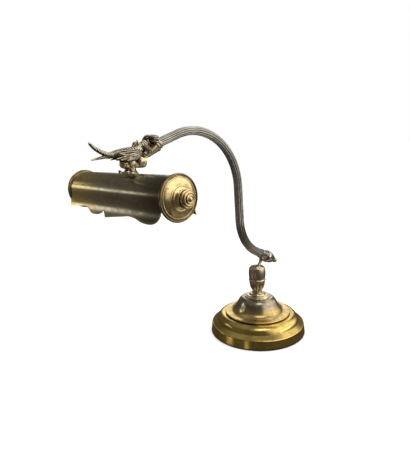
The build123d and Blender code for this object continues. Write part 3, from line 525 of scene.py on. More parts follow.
def fan(shape, root, hem, thick, ribs, ridge, across, steps):
    """A membrane between a root line and a hem, ridged along its ribs: two skins and their edges."""
    rows = []
    for i in range(steps * (len(root) - 1) + 1):
        where = i / steps
        start, end = curve_point(root, where), curve_point(hem, where)
        rise = max(exp(-((where - rib) * 5.5) ** 2) for rib in ribs)
        rows.append((start, end, rise))
    skins = []
    for side in (1, -1):
        grid = []
        for i, (start, end, rise) in enumerate(rows):
            line = []
            ahead, behind = rows[min(i + 1, len(rows) - 1)], rows[max(i - 1, 0)]
            for j in range(across + 1):
                share = j / across
                spot = start.lerp(end, share)
                along = ahead[0].lerp(ahead[1], share) - behind[0].lerp(behind[1], share)
                out = along.cross(end - start)
                out.normalize()
                half = thick * (0.5 - 0.32 * share) + ridge * rise * (1 - 0.55 * share)
                line.append(shape.verts.new(FIGURE + spot + side * half * out))
            grid.append(line)
        skins.append(grid)
    top, low = skins
    for i in range(len(rows) - 1):
        for j in range(across):
            shape.faces.new((top[i][j], top[i + 1][j], top[i + 1][j + 1], top[i][j + 1]))
            shape.faces.new((low[i][j], low[i][j + 1], low[i + 1][j + 1], low[i + 1][j]))
        shape.faces.new((top[i][0], low[i][0], low[i + 1][0], top[i + 1][0]))
        shape.faces.new((top[i][across], top[i + 1][across], low[i + 1][across], low[i][across]))
    for j in range(across):
        shape.faces.new((top[0][j], top[0][j + 1], low[0][j + 1], low[0][j]))
        shape.faces.new((top[-1][j], low[-1][j], low[-1][j + 1], top[-1][j + 1]))


def fans(shape, root, hem, thick, ribs, ridge, across=6, steps=14):
    """A fan on both sides of the figure, from its root and hem at +X."""
    for side in (-1, 1):
        edges = ([Vector((side * x, y, z)) for x, y, z in line] for line in (root, hem))
        fan(shape, *edges, thick, ribs, ridge, across, steps)


def as_mesh(name, shape):
    """Closes the seams of a shape and turns its faces outwards."""
    bmesh.ops.remove_doubles(shape, verts=shape.verts, dist=1e-4)
    bmesh.ops.recalc_face_normals(shape, faces=shape.faces)
    mesh = bpy.data.meshes.new(name)
    shape.to_mesh(mesh)
    shape.free()
    return mesh


def put(name, mesh):
    """An object of the mesh in the scene."""
    made = bpy.data.objects.new(name, mesh)
    bpy.context.scene.collection.objects.link(made)
    return made


def settled(made):
    """The object with its modifiers worked into a plain mesh."""
    bpy.context.view_layer.update()
    graph = bpy.context.evaluated_depsgraph_get()
    mesh = bpy.data.meshes.new_from_object(made.evaluated_get(graph), depsgraph=graph)
    name = made.name
    bpy.data.objects.remove(made)
    return put(name, mesh)


def cast(name, shape, voxel):
    """Melts overlapping forms into one cast skin."""
    made = put(name, as_mesh(name, shape))
    melt = made.modifiers.new("melt", "REMESH")
    melt.mode = "VOXEL"
    melt.voxel_size = voxel
    soft = made.modifiers.new("soft", "SMOOTH")
    soft.factor = 0.5
    soft.iterations = 2
    return settled(made)


def hand_over(made, body, slot, *nodes, sharp=0):
    """Finishes a piece: metres, smooth faces, its finish, its body and what it stands for."""
    mesh = made.data
    mesh.transform(Matrix.Scale(MM, 4))
    mesh.materials.clear()
    mesh.materials.append(finish_of(slot, *nodes))
    mesh.shade_smooth()
    if sharp:
        mesh.set_sharp_from_angle(angle=radians(sharp))
    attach(made, body)
    if nodes:
        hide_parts(*nodes)


def lathe(name, place, profile, sides, body, slot, node, sharp=40):
    """A turned piece that stands for a node."""
    shape = bmesh.new()
    turned(shape, place, profile, sides)
    hand_over(put(name, as_mesh(name, shape)), body, slot, node, sharp=sharp)


# Geometry node trees

def rule(name, sizes):
    """A node tree on a mesh, with a named input for each size."""
    tree = bpy.data.node_groups.new(name, "GeometryNodeTree")
    tree.interface.new_socket("Geometry", in_out="INPUT", socket_type="NodeSocketGeometry")
    kinds = {int: "NodeSocketInt", float: "NodeSocketFloat"}
    for size, value in sizes.items():
        kind = kinds.get(type(value), "NodeSocketMaterial")
        tree.interface.new_socket(size, in_out="INPUT", socket_type=kind)
    tree.interface.new_socket("Geometry", in_out="OUTPUT", socket_type="NodeSocketGeometry")
    sheet = Sheet(tree)
    start = tree.nodes.new("NodeGroupInput")
    return sheet, {socket.name: Value(sheet, socket) for socket in start.outputs if socket.name}


def finished_by_rule(made, sheet, result, sizes):
    """Ends the tree, sets its inputs on a modifier and turns what comes out into a plain mesh."""
    real = sheet.node("GeometryNodeRealizeInstances", None, {0: result})
    items = sheet.tree.interface.items_tree
    inputs = {item.name: item.identifier for item in items if item.in_out == "INPUT"}
    group = next(node for node in sheet.tree.nodes if node.type == "GROUP_INPUT")
    finish = Value(sheet, group.outputs["Finish"])
    painted = sheet.node("GeometryNodeSetMaterial", None, {"Geometry": real, "Material": finish})
    end = sheet.tree.nodes.new("NodeGroupOutput")
    sheet.tree.links.new(painted.socket, end.inputs[0])
    step = made.modifiers.new("rule", "NODES")
    step.node_group = sheet.tree
    for name, value in sizes.items():
        step[inputs[name]] = value
    return settled(made)


def swept(sheet, path, section, scale):
    """A section carried along a path, closed at both ends."""
    links = {"Curve": path, "Profile Curve": section, "Scale": scale, "Fill Caps": True}
    return sheet.node("GeometryNodeCurveToMesh", None, links)


def stepped_path(sheet, size, by="Step"):
    """The piece's edges as a curve of even steps, by their length or their count."""
    mode, socket = {"Step": ("LENGTH", "Length"), "Count": ("COUNT", "Count")}[by]
    path = sheet.node("GeometryNodeMeshToCurve", None, {0: size["Geometry"]})
    return sheet.node("GeometryNodeResampleCurve", {"mode": mode}, {"Curve": path, socket: size[by]})


def strand(name, *lines):
    """Runs of points joined by edges."""
    shape = bmesh.new()
    for line in lines:
        points = [shape.verts.new(point) for point in line]
        for pair in zip(points, points[1:]):
            shape.edges.new(pair)
    mesh = bpy.data.meshes.new(name)
    shape.to_mesh(mesh)
    shape.free()
    return mesh


# Arm

def arm_line():
    """The arm's centre line: straight runs and two bends, from the elbow to the sleeve."""
    runs = ((15.8, 71.4, 92.95), (53.6, 91.5, 199.3), (37.0, 0, None))
    point = ELBOW_CENTRE - TUBE_START * heading(-TAIL_SLOPE)
    angle = 180 - TAIL_SLOPE
    line = [point.copy()]
    for run, bend, turn_to in runs:
        for i in range(1, 13):
            line.append(point + heading(angle) * run * i / 12)
        point = line[-1].copy()
        if turn_to is None:
            break
        turn = 1 if turn_to > angle else -1
        centre = point + turn * bend * heading(angle + 90)
        for i in range(1, 61):
            now = angle + (turn_to - angle) * i / 60
            line.append(centre - turn * bend * heading(now + 90))
        point, angle = line[-1].copy(), turn_to
    return line


def reeded_tube():
    """The swan-neck: a ring of reeds swept along the arm's line, thinner towards the shade."""
    sizes = {"Reeds": REEDS, "Reed Depth": 0.17, "Low Radius": 7.4, "High Radius": 6.0, "Step": 1.6,
             "Finish": FINISH["aged_brass"]}
    sheet, size = rule("Reeded tube", sizes)
    path = stepped_path(sheet, size)
    circle = {"Resolution": size["Reeds"] * 12.0, "Radius": 1.0}
    ring = sheet.node("GeometryNodeCurvePrimitiveCircle", None, circle)
    spot = sheet.node("GeometryNodeInputPosition")
    x, y, z = sheet.parts(spot)
    wave = sheet.math("SINE", sheet.math("ARCTAN2", y, x) * size["Reeds"] * 0.5)
    shrink = 1 - size["Reed Depth"] * (1 - abs(wave) ** 0.62)
    moved = sheet.vector("MULTIPLY", spot, sheet.joined(shrink, shrink, shrink))
    section = sheet.node("GeometryNodeSetPosition", None, {"Geometry": ring, "Position": moved})
    factor = sheet.node("GeometryNodeSplineParameter")
    radius = size["Low Radius"] + (size["High Radius"] - size["Low Radius"]) * factor
    tube = swept(sheet, path, section, radius)
    made = finished_by_rule(put("arm_reeds", strand("arm_reeds", arm_line())), sheet, tube, sizes)
    shape = bmesh.new()
    shape.from_mesh(made.data)
    cut = bmesh.ops.bisect_plane(
        shape, geom=shape.verts[:] + shape.edges[:] + shape.faces[:], dist=1e-5,
        plane_co=TUBE_END, plane_no=-heading(JOINT_SLOPE), clear_outer=True)
    edges = [item for item in cut["geom_cut"] if isinstance(item, bmesh.types.BMEdge)]
    bmesh.ops.edgeloop_fill(shape, edges=edges)
    made.data = as_mesh("arm_reeds", shape)
    hand_over(made, "arm", "aged_brass", "arm_tube", sharp=50)


def bell_sleeve():
    """The end of the arm: a bell that widens to a rim, and a ring round the tube."""
    profile = outline_points(
        (2.45, 12.1), (3.4, 12.1), ((3.8, 12.6), (3.8, 13.2)), ((5.7, 20.6), (7.6, 28.4)),
        ((8.1, 29.3), (7.7, 30.2)), ((6.7, 31.0), (6.9, 32.4)), ((7.5, 34.0), (7.2, 35.7)),
        (0, 35.7), (0, 24.1), (2.45, 24.1))
    place = seat(JOINT_CENTRE, heading(JOINT_SLOPE))
    lathe("bell_sleeve", place, profile, 96, "arm", "joint_brass", "arm_sleeve")


# Column

def smooth_outline(points, steps=5):
    """The outline through the points as one flowing line."""
    count = (len(points) - 1) * steps
    return [tuple(curve_point(points, i / steps)) for i in range(count + 1)]


def bell_cover():
    """The spun cover on the foot: steep sides that flow out into a wide flange with a rolled edge."""
    wall = 1.3
    outside = smooth_outline([
        (55.6, 37.0), (52.0, 37.2), (48.4, 37.7), (45.0, 38.6), (42.2, 40.1), (39.9, 42.4),
        (38.0, 45.3), (36.2, 48.7), (34.5, 52.1), (32.6, 55.5), (30.4, 58.5), (27.7, 60.8),
        (24.8, 62.1), (21.7, BELL_TOP)])
    inside = smooth_outline([
        (20.5, BELL_TOP - wall), (26.8, 59.6), (31.2, 54.7), (34.8, 48.0), (38.4, 41.5), (43.8, 37.5),
        (51.0, 35.9)])
    edge = outline_points(
        (52.2, SEAT_TOP), (52.6, SEAT_TOP), (56.1, 34.7), ((56.8, 35.8), (56.1, 36.9)))
    profile = [(ROD_BORE, BELL_TOP - wall)] + inside + edge + outside + [(ROD_BORE, BELL_TOP)]
    lathe("bell_cover", Matrix.Identity(4), profile, 160, "foot", "bell_brass", "base_dome", sharp=50)


def stepped_collar():
    """The collar on the bell: a broad ring, a middle ring, an upper ring and a neck."""
    profile = outline_points(
        (ROD_BORE, BELL_TOP), (17.7, BELL_TOP), (19.3, 62.8), ((21.9, 63.5), (21.4, 64.6)),
        (20.2, 65.0), (19.4, 64.8), ((18.8, 65.9), (17.2, 66.2)), (15.9, 65.9), (14.2, 66.3),
        ((13.5, 67.5), (12.6, 68.2)), ((11.4, 68.8), (10.4, 68.5)), ((8.9, 69.1), (8.6, COLLAR_TOP)),
        (ROD_BORE, COLLAR_TOP))
    lathe("stepped_collar", Matrix.Identity(4), profile, 128, "foot", "bell_brass", "dome_collar")


def fluted_cup():
    """The cup under the socket nut, with the spigot that the nut screws on. Its flutes are pressed
    in by rule, each with an arched top."""
    spigot, spigot_bore, spigot_top = 11.3, 9.9, 100.9
    cup_floor, rod_top, wire_hole = CUP_TOP + 1.0, CUP_TOP - 3.6, 3.6
    foot = outline_points((ROD_BORE, COLLAR_TOP), (8.2, COLLAR_TOP), ((8.7, 70.9), (8.2, 71.6)))
    bowl = smooth_outline([
        (7.7, 72.0), (9.0, 74.2), (10.7, 77.1), (12.2, 80.4), (13.3, 84.6), (13.8, 89.0),
        (13.9, CUP_TOP)], 7)
    profile = foot + bowl + [
        (spigot, CUP_TOP), (spigot, spigot_top), (spigot_bore, spigot_top), (spigot_bore, cup_floor),
        (wire_hole, cup_floor), (wire_hole, rod_top), (ROD_BORE, rod_top)]
    shape = bmesh.new()
    turned(shape, Matrix.Identity(4), profile, FLUTES * 14)
    sizes = {"Flutes": FLUTES, "Depth": 1.5, "Foot": 72.4, "Shoulder": 90.2,
             "Finish": FINISH["joint_brass"]}
    sheet, size = rule("Fluted cup", sizes)
    spot = sheet.node("GeometryNodeInputPosition")
    x, y, z = sheet.parts(spot)
    wave = abs(sheet.math("SINE", sheet.math("ARCTAN2", y, x) * size["Flutes"] * 0.5))
    arch = size["Shoulder"] - 2.2 * (1 - wave)
    above = sheet.ease(z, size["Foot"], size["Foot"] + 2.0)
    below = 1 - sheet.ease(z, arch - 0.9, arch + 0.5)
    radius = (x * x + y * y) ** 0.5
    skin = sheet.ease(radius, 7.0, 8.0)
    share = 1 - size["Depth"] * (wave ** 1.6) * (above * below) * skin / radius
    moved = sheet.vector("MULTIPLY", spot, sheet.joined(share, share, 1.0))
    links = {"Geometry": size["Geometry"], "Position": moved}
    result = sheet.node("GeometryNodeSetPosition", None, links)
    made = put("column_flutes", as_mesh("column_flutes", shape))
    made = finished_by_rule(made, sheet, result, sizes)
    hand_over(made, "foot", "joint_brass", "column_cup", sharp=40)


# Shade

def bezier(points, t):
    """A point of a curve with two handles."""
    share = 1 - t
    weights = (share ** 3, 3 * share * share * t, 3 * share * t * t, t ** 3)
    return tuple(sum(w * p[axis] for w, p in zip(weights, points)) for axis in (0, 1))


def brim_line():
    """The lower edge on the side of the viewer: (along, drop below the shade's axis).

    Each scallop has a corner, a waist, a tongue and its end."""
    scallops = (
        ((-SHADE_HALF, 21.2), (-60.8, 18.0), (-31.0, 25.2), (-11.5, 18.2)),
        ((-2.6, 26.6), (43.9, 21.1), (82.5, 25.6), (SHADE_HALF, 12.6)),
    )
    line = []
    for corner, waist, tongue, end in scallops:
        ease, rise = 0.5 * (tongue[0] - waist[0]), end[0] - tongue[0]
        swell = (waist, (waist[0] + ease, waist[1]), (tongue[0] - ease, tongue[1]), tongue)
        fall = (tongue, (tongue[0] + 0.5 * rise, tongue[1]), (end[0] - 0.1 * rise, tongue[1] - 1), end)
        line.append(corner)
        line += [bezier(swell, i / 14) for i in range(15)]
        line += [bezier(fall, i / 14) for i in range(1, 15)]
    return line


def drop_at(line, along):
    """How low the edge is at a place along the shade."""
    for (x0, d0), (x1, d1) in zip(line, line[1:]):
        if x0 <= along <= x1:
            return d0 + (d1 - d0) * (along - x0) / max(x1 - x0, 1e-6)
    return line[0][1] if along < line[0][0] else line[-1][1]


def shade_side(drop, inset=0.0):
    """How far the shade's skin stands from its axis at a drop below the axis."""
    start, middle = radians(FLARE_START), SHADE_RADIUS + FLARE_RADIUS
    if drop <= SHADE_RADIUS * sin(start):
        return sqrt((SHADE_RADIUS - inset) ** 2 - drop * drop)
    return middle * cos(start) - sqrt((FLARE_RADIUS + inset) ** 2 - (drop - middle * sin(start)) ** 2)


def shade_ring(shape, along, drops, inset):
    """The skin across the shade, from one lower edge over the top to the other."""
    rows, back, turn = 44, 0.55, 90.16
    ring = []
    for side, drop in zip((-1, 1), drops):
        arc = []
        for i in range(rows + 1):
            share = i / rows
            if share < back:
                angle = radians(90 - share / back * turn)
                reach, fall = (SHADE_RADIUS - inset) * cos(angle), -(SHADE_RADIUS - inset) * sin(angle)
            else:
                start = -SHADE_RADIUS * sin(radians(90 - turn))
                fall = start + (drop - start) * (share - back) / (1 - back)
                reach = shade_side(fall, inset)
            arc.append(shape.verts.new(SHADE_CENTRE + Vector((along, side * reach, -fall))))
        ring += arc if side > 0 else arc[:0:-1]
    return ring


def shade_skin():
    """The long shade: a round back, flared sides and a scalloped edge, the same turned half round."""
    line = brim_line()
    stops = {round(-SHADE_HALF + 2 * SHADE_HALF * i / 140, 3) for i in range(141)}
    stops = sorted(stops | {round(way * x, 3) for x, drop in line for way in (-1, 1)})
    shape = bmesh.new()
    outer, inner = (
        [shade_ring(shape, x, (drop_at(line, x), drop_at(line, -x)), inset) for x in stops]
        for inset in (0.0, SHADE_WALL))
    width = len(outer[0])
    for i in range(len(stops) - 1):
        for j in range(width - 1):
            shape.faces.new((outer[i][j], outer[i + 1][j], outer[i + 1][j + 1], outer[i][j + 1]))
            shape.faces.new((inner[i][j], inner[i][j + 1], inner[i + 1][j + 1], inner[i + 1][j]))
        for j in (0, width - 1):
            shape.faces.new((outer[i][j], inner[i][j], inner[i + 1][j], outer[i + 1][j]))
    for i in (0, len(stops) - 1):
        for j in range(width - 1):
            shape.faces.new((outer[i][j], outer[i][j + 1], inner[i][j + 1], inner[i][j]))
    made = put("shade_skin", as_mesh("shade_skin", shape))
    hand_over(made, "shade", "shade_brass", "shade_shell", sharp=40)


def brim_wire():
    """Thin rolled brim that follows the scalloped edge on both sides."""
    lines = []
    for side in (-1, 1):
        edge = [(-side * x, drop) for x, drop in brim_line() if abs(x) < SHADE_HALF]
        spots = (Vector((x, side * (shade_side(drop) - 0.25), -drop)) for x, drop in edge)
        lines.append([SHADE_CENTRE + spot for spot in spots])
    sizes = {"Radius": 0.62, "Step": 1.2, "Finish": FINISH["shade_brass"]}
    sheet, size = rule("Rolled brim", sizes)
    ring = sheet.node("GeometryNodeCurvePrimitiveCircle", None, {"Resolution": 12, "Radius": 1.0})
    tube = swept(sheet, stepped_path(sheet, size), ring, size["Radius"])
    made = finished_by_rule(put("shade_brim", strand("shade_brim", *lines)), sheet, tube, sizes)
    hand_over(made, "shade", "shade_brass", sharp=35)


def cap_seat(side):
    """The end of the shade's axis, facing outwards."""
    return seat(SHADE_CENTRE + Vector((side * SHADE_HALF, 0, 0)), (side, 0, 0), (0, 1, 0))


def end_cap(side, name, node):
    """Pressed cap: rolled flange, bead, ogee face with turned lines, and the boss."""
    profile = outline_points(
        (NIPPLE_BORE, 8.3), (7.0, 8.3), (7.4, 6.8), ((9.6, 5.2), (13.8, 4.7)),
        ((19.6, 2.6), (21.75, 0.2)), (21.75, -4), (22.85, -4), (22.85, 0), (25.5, 0),
        ((26.3, 1.0), (25.9, 2.2)), ((25.2, 2.8), (24.5, 2.5)), (24.2, 1.9),
        ((23.6, 1.75), (23.1, 2.2)), ((22.3, 3.0), (21.5, 2.9)), ((19.2, 4.2), (14.4, 5.6)),
        (14.1, 6.0), (13.3, 6.2), (12.9, 5.9), ((10.4, 6.5), (8.7, 7.8)),
        ((8.3, 8.3), (8.3, 9.0)), (7.9, CAP_TOP), (NIPPLE_BORE, CAP_TOP))
    lathe(name, cap_seat(side), profile, 128, "shade", "cap_brass", node)


def finial(side, name, node):
    """Turned knob: a broad ring, a neck and a second ring, then smaller ones up to the tip."""
    profile = outline_points(
        (0, 14.4), (NIPPLE_BORE, 14.4), (NIPPLE_BORE, CAP_TOP), (7.4, CAP_TOP),
        ((6.5, 10.0), (6.7, 10.8)), ((8.6, 10.9), (9.6, 11.5)), ((10.9, 12.5), (9.4, 13.4)),
        ((7.2, 13.5), (7.0, 14.1)), ((7.3, 14.8), (8.8, 14.8)), ((10.3, 16.2), (9.3, 17.5)),
        (8.4, 17.2), (7.8, 17.4), ((7.6, 18.9), (6.6, 19.2)), (5.6, 18.7), (5.0, 18.8),
        ((4.8, 20.1), (3.9, 20.3)), (3.1, 19.8), (2.6, 19.9), ((1.89, 21.17), (0, 21.95)))
    lathe(name, cap_seat(side), profile, 96, "shade", "cap_brass", node)


def ball_cap():
    """The screwed cap round the small ball: a bulging side and a narrow rim behind it."""
    profile = outline_points(
        (7.4, -4.5), (7.7, -4.5), (8.0, -4.2), (8.0, -3.6), (7.6, -3.3), ((8.2, -0.6), (7.78, 2.6)),
        (6.25, 2.6), ((6.7, 1.3), (6.85, 0)), (7.4, 0))
    place = seat(JOINT_CENTRE, heading(SOCKET_SLOPE))
    lathe("ball_cap", place, profile, 96, "shade", "cap_brass", "socket_cap")


# Dragon. Its forms are lines of stations from FIGURE: x, y, z, half width and half height.

TRUNK = [
    (0, -46.5, 9.6, 2.0, 2.0), (0, -42.0, 10.2, 3.6, 3.0), (0, -36.0, 10.9, 5.9, 4.4),
    (0, -25.0, 11.8, 7.8, 5.6), (0, -12.5, 13.2, 7.9, 5.9), (0, -3.7, 16.0, 6.3, 6.0),
    (0, 3.4, 21.2, 5.1, 5.5), (0, 9.0, 26.2, 4.6, 4.9)]
THROAT = [
    (0, -3.0, 11.5, 4.2, 3.4), (0, 2.2, 14.0, 4.0, 3.6), (0, 6.6, 18.6, 3.8, 3.6),
    (0, 10.4, 23.4, 3.4, 3.0)]
CHEST = [(0, -9.0, 9.4, 5.4, 3.0), (0, -3.0, 10.2, 4.8, 3.2), (0, 2.6, 12.6, 4.4, 3.6)]
BREAST = [
    (6.4, -4.0, 20.0, 1.8, 2.4), (8.6, 0.4, 17.0, 1.7, 3.6), (9.4, 3.4, 13.4, 1.4, 3.9),
    (9.2, 5.2, 10.0, 0.9, 2.6)]
CURL = [
    (0, -43.0, 9.4, 2.8, 2.7), (0, -52.0, 10.7, 2.8, 2.8), (0, -60.0, 13.9, 2.4, 2.5),
    (0, -67.5, 18.7, 2.0, 2.1), (0, -72.5, 23.9, 1.5, 1.6)]
PRONG = [
    (0, -45.0, 9.0, 2.2, 2.3), (0, -54.0, 7.6, 2.0, 2.1), (0, -60.0, 6.6, 1.7, 1.7),
    (0, -66.0, 5.6, 1.4, 1.2), (0, -71.4, 4.7, 0.9, 0.8)]
BARB = [(0, -62.0, 6.2, 0.9, 0.8), (1.6, -63.6, 6.0, 0.8, 0.6), (2.9, -61.2, 6.2, 0.3, 0.3)]
SKULL = [
    (0, 3.6, 25.0, 4.2, 4.0), (0, 7.2, 27.0, 5.8, 4.9), (0, 12.0, 27.6, 6.2, 4.8),
    (0, 17.0, 28.2, 5.4, 4.1), (0, 20.4, 28.8, 4.6, 3.4), (0, 22.8, 29.2, 3.8, 2.8)]
BROW = [
    (1.8, 21.5, 31.2, 0.7, 0.7), (3.2, 18.0, 31.9, 1.3, 1.1), (4.9, 13.5, 31.3, 1.1, 1.0),
    (5.6, 11.0, 30.6, 0.4, 0.4)]
HORN = [
    (3.2, 17.5, 31.0, 1.5, 1.3), (4.4, 13.0, 32.0, 1.4, 1.3), (5.2, 9.4, 32.0, 1.0, 0.9),
    (5.2, 7.0, 30.6, 0.3, 0.3)]
EAR = [(4.6, 13.4, 28.0, 1.4, 2.0), (6.4, 10.8, 29.0, 1.0, 1.7), (7.6, 8.4, 29.8, 0.3, 0.4)]
CHEEK = [(4.8, 13.8, 26.0, 1.2, 1.2), (6.3, 10.8, 25.2, 0.9, 0.9), (7.3, 8.2, 23.8, 0.25, 0.25)]
LIP = [
    (4.7, 13.0, 27.0, 0.8, 0.9), (4.4, 19.0, 26.9, 0.8, 0.8), (3.6, 22.0, 27.4, 0.7, 0.7),
    (2.4, 23.8, 27.8, 0.5, 0.5)]
SIDE_FRILL = [
    (4.8, 6.4, 27.0, 1.6, 3.2), (8.2, 9.6, 27.2, 1.3, 4.0), (10.6, 13.8, 27.0, 1.1, 4.5),
    (11.2, 17.4, 26.9, 0.8, 4.6)]
HIND_LEG = [
    (7.0, -24.0, 9.6, 2.7, 3.1), (9.4, -26.6, 4.0, 2.2, 2.4), (9.9, -25.6, -1.6, 1.6, 1.7),
    (8.9, -23.0, -5.6, 1.4, 1.2)]
FORE_LEG = [
    (7.0, -9.4, 9.4, 2.6, 3.0), (9.5, -11.8, 3.8, 2.0, 2.2), (9.8, -10.8, -1.4, 1.5, 1.6),
    (8.8, -8.6, -5.2, 1.3, 1.1)]


def merged(name, *meshes):
    """One mesh of several."""
    shape = bmesh.new()
    for mesh in meshes:
        shape.from_mesh(mesh)
    mesh = bpy.data.meshes.new(name)
    shape.to_mesh(mesh)
    shape.free()
    return mesh


def detail(name, mesh, sheet, result, sizes):
    """What a rule makes on a mesh, for merging into a piece."""
    made = finished_by_rule(put(name, mesh), sheet, result, sizes)
    mesh = made.data
    bpy.data.objects.remove(made)
    return mesh


def scale_beds(stations, rows, low, high, pitch, tailward):
    """Where scales sit on a form: places, with the way out and the way to the tail for each."""
    places, outs, ways = [], [], []
    last = len(stations) - 1
    for row in range(rows):
        where = last * (row + 0.5) / rows
        here = curve_point(stations, where)
        ahead, behind = min(where + 0.05, last - 0.001), max(where - 0.05, 0)
        way = Vector((curve_point(stations, ahead) - curve_point(stations, behind))[:3]).normalized()
        over = Vector((1, 0, 0)).cross(way)
        over = -over if over.z < 0 else over
        count = max(2, round((here[3] + here[4]) / 2 * radians(high - low) / pitch))
        shift = 0.75 if row % 2 else 0.25
        for k in range(count):
            angle = radians(low + (high - low) * (k + shift) / (count + 0.25))
            across, up = Vector((cos(angle), 0, 0)), over * sin(angle)
            places.append(FIGURE + Vector(here[:3]) + (across * here[3] + up * here[4]) * 0.97)
            outs.append((across * here[4] + up * here[3]).normalized())
            ways.append(way * tailward)
    return places, {"out": outs, "way": ways}


def scales(beds, length, width):
    """Overlapping rounded scales, one on each bed."""
    places, directions = beds
    mesh = bpy.data.meshes.new("coat")
    mesh.from_pydata(places, [], [])
    for title, vectors in directions.items():
        numbers = [number for vector in vectors for number in vector]
        mesh.attributes.new(title, "FLOAT_VECTOR", "POINT").data.foreach_set("vector", numbers)
    sizes = {"Length": length, "Width": width, "Thickness": 0.34, "Tilt": 0.3,
             "Finish": FINISH["figure_brass"]}
    sheet, size = rule("Dragon scales", sizes)
    ball = sheet.node("GeometryNodeMeshUVSphere", None, {"Segments": 10, "Rings": 6, "Radius": 1.0})
    form = sheet.joined(size["Length"], size["Width"], size["Thickness"])
    plate = sheet.node("GeometryNodeTransform", None, {"Geometry": ball, "Scale": form})
    out, way = (
        sheet.node("GeometryNodeInputNamedAttribute", {"data_type": "FLOAT_VECTOR"}, {"Name": title})
        for title in directions)
    settings = {"primary_axis": "Z", "secondary_axis": "X"}
    links = {"Primary Axis": out, "Secondary Axis": way}
    lay = sheet.node("FunctionNodeAxesToRotation", settings, links)
    back = sheet.joined(0.0, -1 * size["Tilt"], 0.0)
    tilt = sheet.node("FunctionNodeEulerToRotation", None, {0: back})
    links = {"Rotation": lay, "Rotate By": tilt}
    lay = sheet.node("FunctionNodeRotateRotation", {"rotation_space": "LOCAL"}, links)
    links = {2: 0.86, 3: 1.1, "Seed": 4}
    growth = sheet.node("FunctionNodeRandomValue", {"data_type": "FLOAT"}, links, 1)
    links = {"Points": size["Geometry"], "Instance": plate, "Rotation": lay, "Scale": growth}
    return detail("coat", mesh, sheet, sheet.node("GeometryNodeInstanceOnPoints", None, links), sizes)


def spines(stations, count, tall):
    """A row of spines along the top of a form, tallest in the middle."""
    line = [curve_point(stations, (len(stations) - 1) * i / 40) for i in range(41)]
    mesh = strand("ridge", [FIGURE + Vector(row[:3]) + Vector((0, 0, 0.86 * row[4])) for row in line])
    sizes = {"Count": count, "Height": tall, "Finish": FINISH["figure_brass"]}
    sheet, size = rule("Back spines", sizes)
    path = stepped_path(sheet, size, "Count")
    spike = sheet.node("GeometryNodeMeshCone", None, {
        "Vertices": 8, "Side Segments": 3, "Fill Segments": 1, "Radius Top": 0.05,
        "Radius Bottom": 0.75, "Depth": 1.0})
    form = sheet.joined(0.55, 1.35, size["Height"])
    blade = sheet.node("GeometryNodeTransform", None, {"Geometry": spike, "Scale": form})
    factor = sheet.node("GeometryNodeSplineParameter")
    growth = 0.55 + 0.6 * (1 - abs(factor * 2.0 - 1.0) ** 2.0)
    lean = sheet.joined(0.35, 0.0, 0.0)
    links = {"Points": path, "Instance": blade, "Rotation": lean, "Scale": growth}
    return detail("ridge", mesh, sheet, sheet.node("GeometryNodeInstanceOnPoints", None, links), sizes)


def coated(name, shape, voxel, *details):
    """A cast skin with its scales and spines."""
    skin = cast("skin", shape, voxel)
    mesh = merged(name, skin.data, *details)
    bpy.data.objects.remove(skin)
    return put(name, mesh)


def sleeve_room(reach):
    """How far the end of the arm stands out from its line at a distance from the joint."""
    if reach < 12:
        return 2.7
    if reach < 31:
        return 3.8 + 0.24 * (reach - 12)
    return 7.9 if reach < 37 else 6.6


def clear_of_arm(mesh):
    """Keeps the figure off the end of the arm, which moves beside it."""
    axis, gap = heading(JOINT_SLOPE), 0.9
    for vertex in mesh.vertices:
        way = vertex.co - JOINT_CENTRE
        reach = way.dot(axis)
        if not 7.0 < reach < 50.0:
            continue
        off = way - axis * reach
        need = sleeve_room(reach) + gap + 0.07 * reach * abs(off.x) / off.length
        if off.length < need:
            vertex.co += off.normalized() * (need - off.length)


def dragon_trunk():
    """Trunk and neck with shoulders, haunches, throat and breast, scales and a row of spines."""
    shape = bmesh.new()
    limb(shape, TRUNK, 28)
    limb(shape, THROAT, 20)
    limb(shape, CHEST, 20)
    paired(shape, (18, BREAST))
    knobs(shape, ((5.6, -11.5, 11.4), (3.6, 5.0, 4.6)), ((5.4, -27.5, 9.6), (3.9, 5.8, 4.6)),
          ((7.2, -0.8, 9.4), (2.2, 3.4, 3.4)))
    beads = [(6.1 - 0.3 * i, -5.4 + 2.7 * i, 16.6 + 2.3 * i) for i in range(5)]
    knobs(shape, *((bead, (1.15, 1.15, 1.15)) for bead in beads))
    beds = scale_beds(TRUNK, rows=24, low=-12, high=192, pitch=2.25, tailward=-1)
    coat = scales(beds, length=1.75, width=1.25)
    made = coated("dragon_trunk", shape, 0.45, coat, spines(TRUNK[1:], count=15, tall=2.2))
    clear_of_arm(made.data)
    hand_over(made, "shade", "figure_brass", "dragon_body")


def dragon_tail():
    """Scaly tail that curls up, and the smooth prong below it with its barb."""
    shape = bmesh.new()
    limb(shape, CURL, 20)
    limb(shape, PRONG, 16)
    paired(shape, (10, BARB))
    beds = scale_beds(CURL[:-1], rows=15, low=-25, high=205, pitch=1.75, tailward=1)
    coat = scales(beds, length=1.35, width=0.92)
    made = coated("dragon_tail_skin", shape, 0.4, coat, spines(CURL, count=12, tall=1.3))
    hand_over(made, "shade", "figure_brass", "dragon_tail")


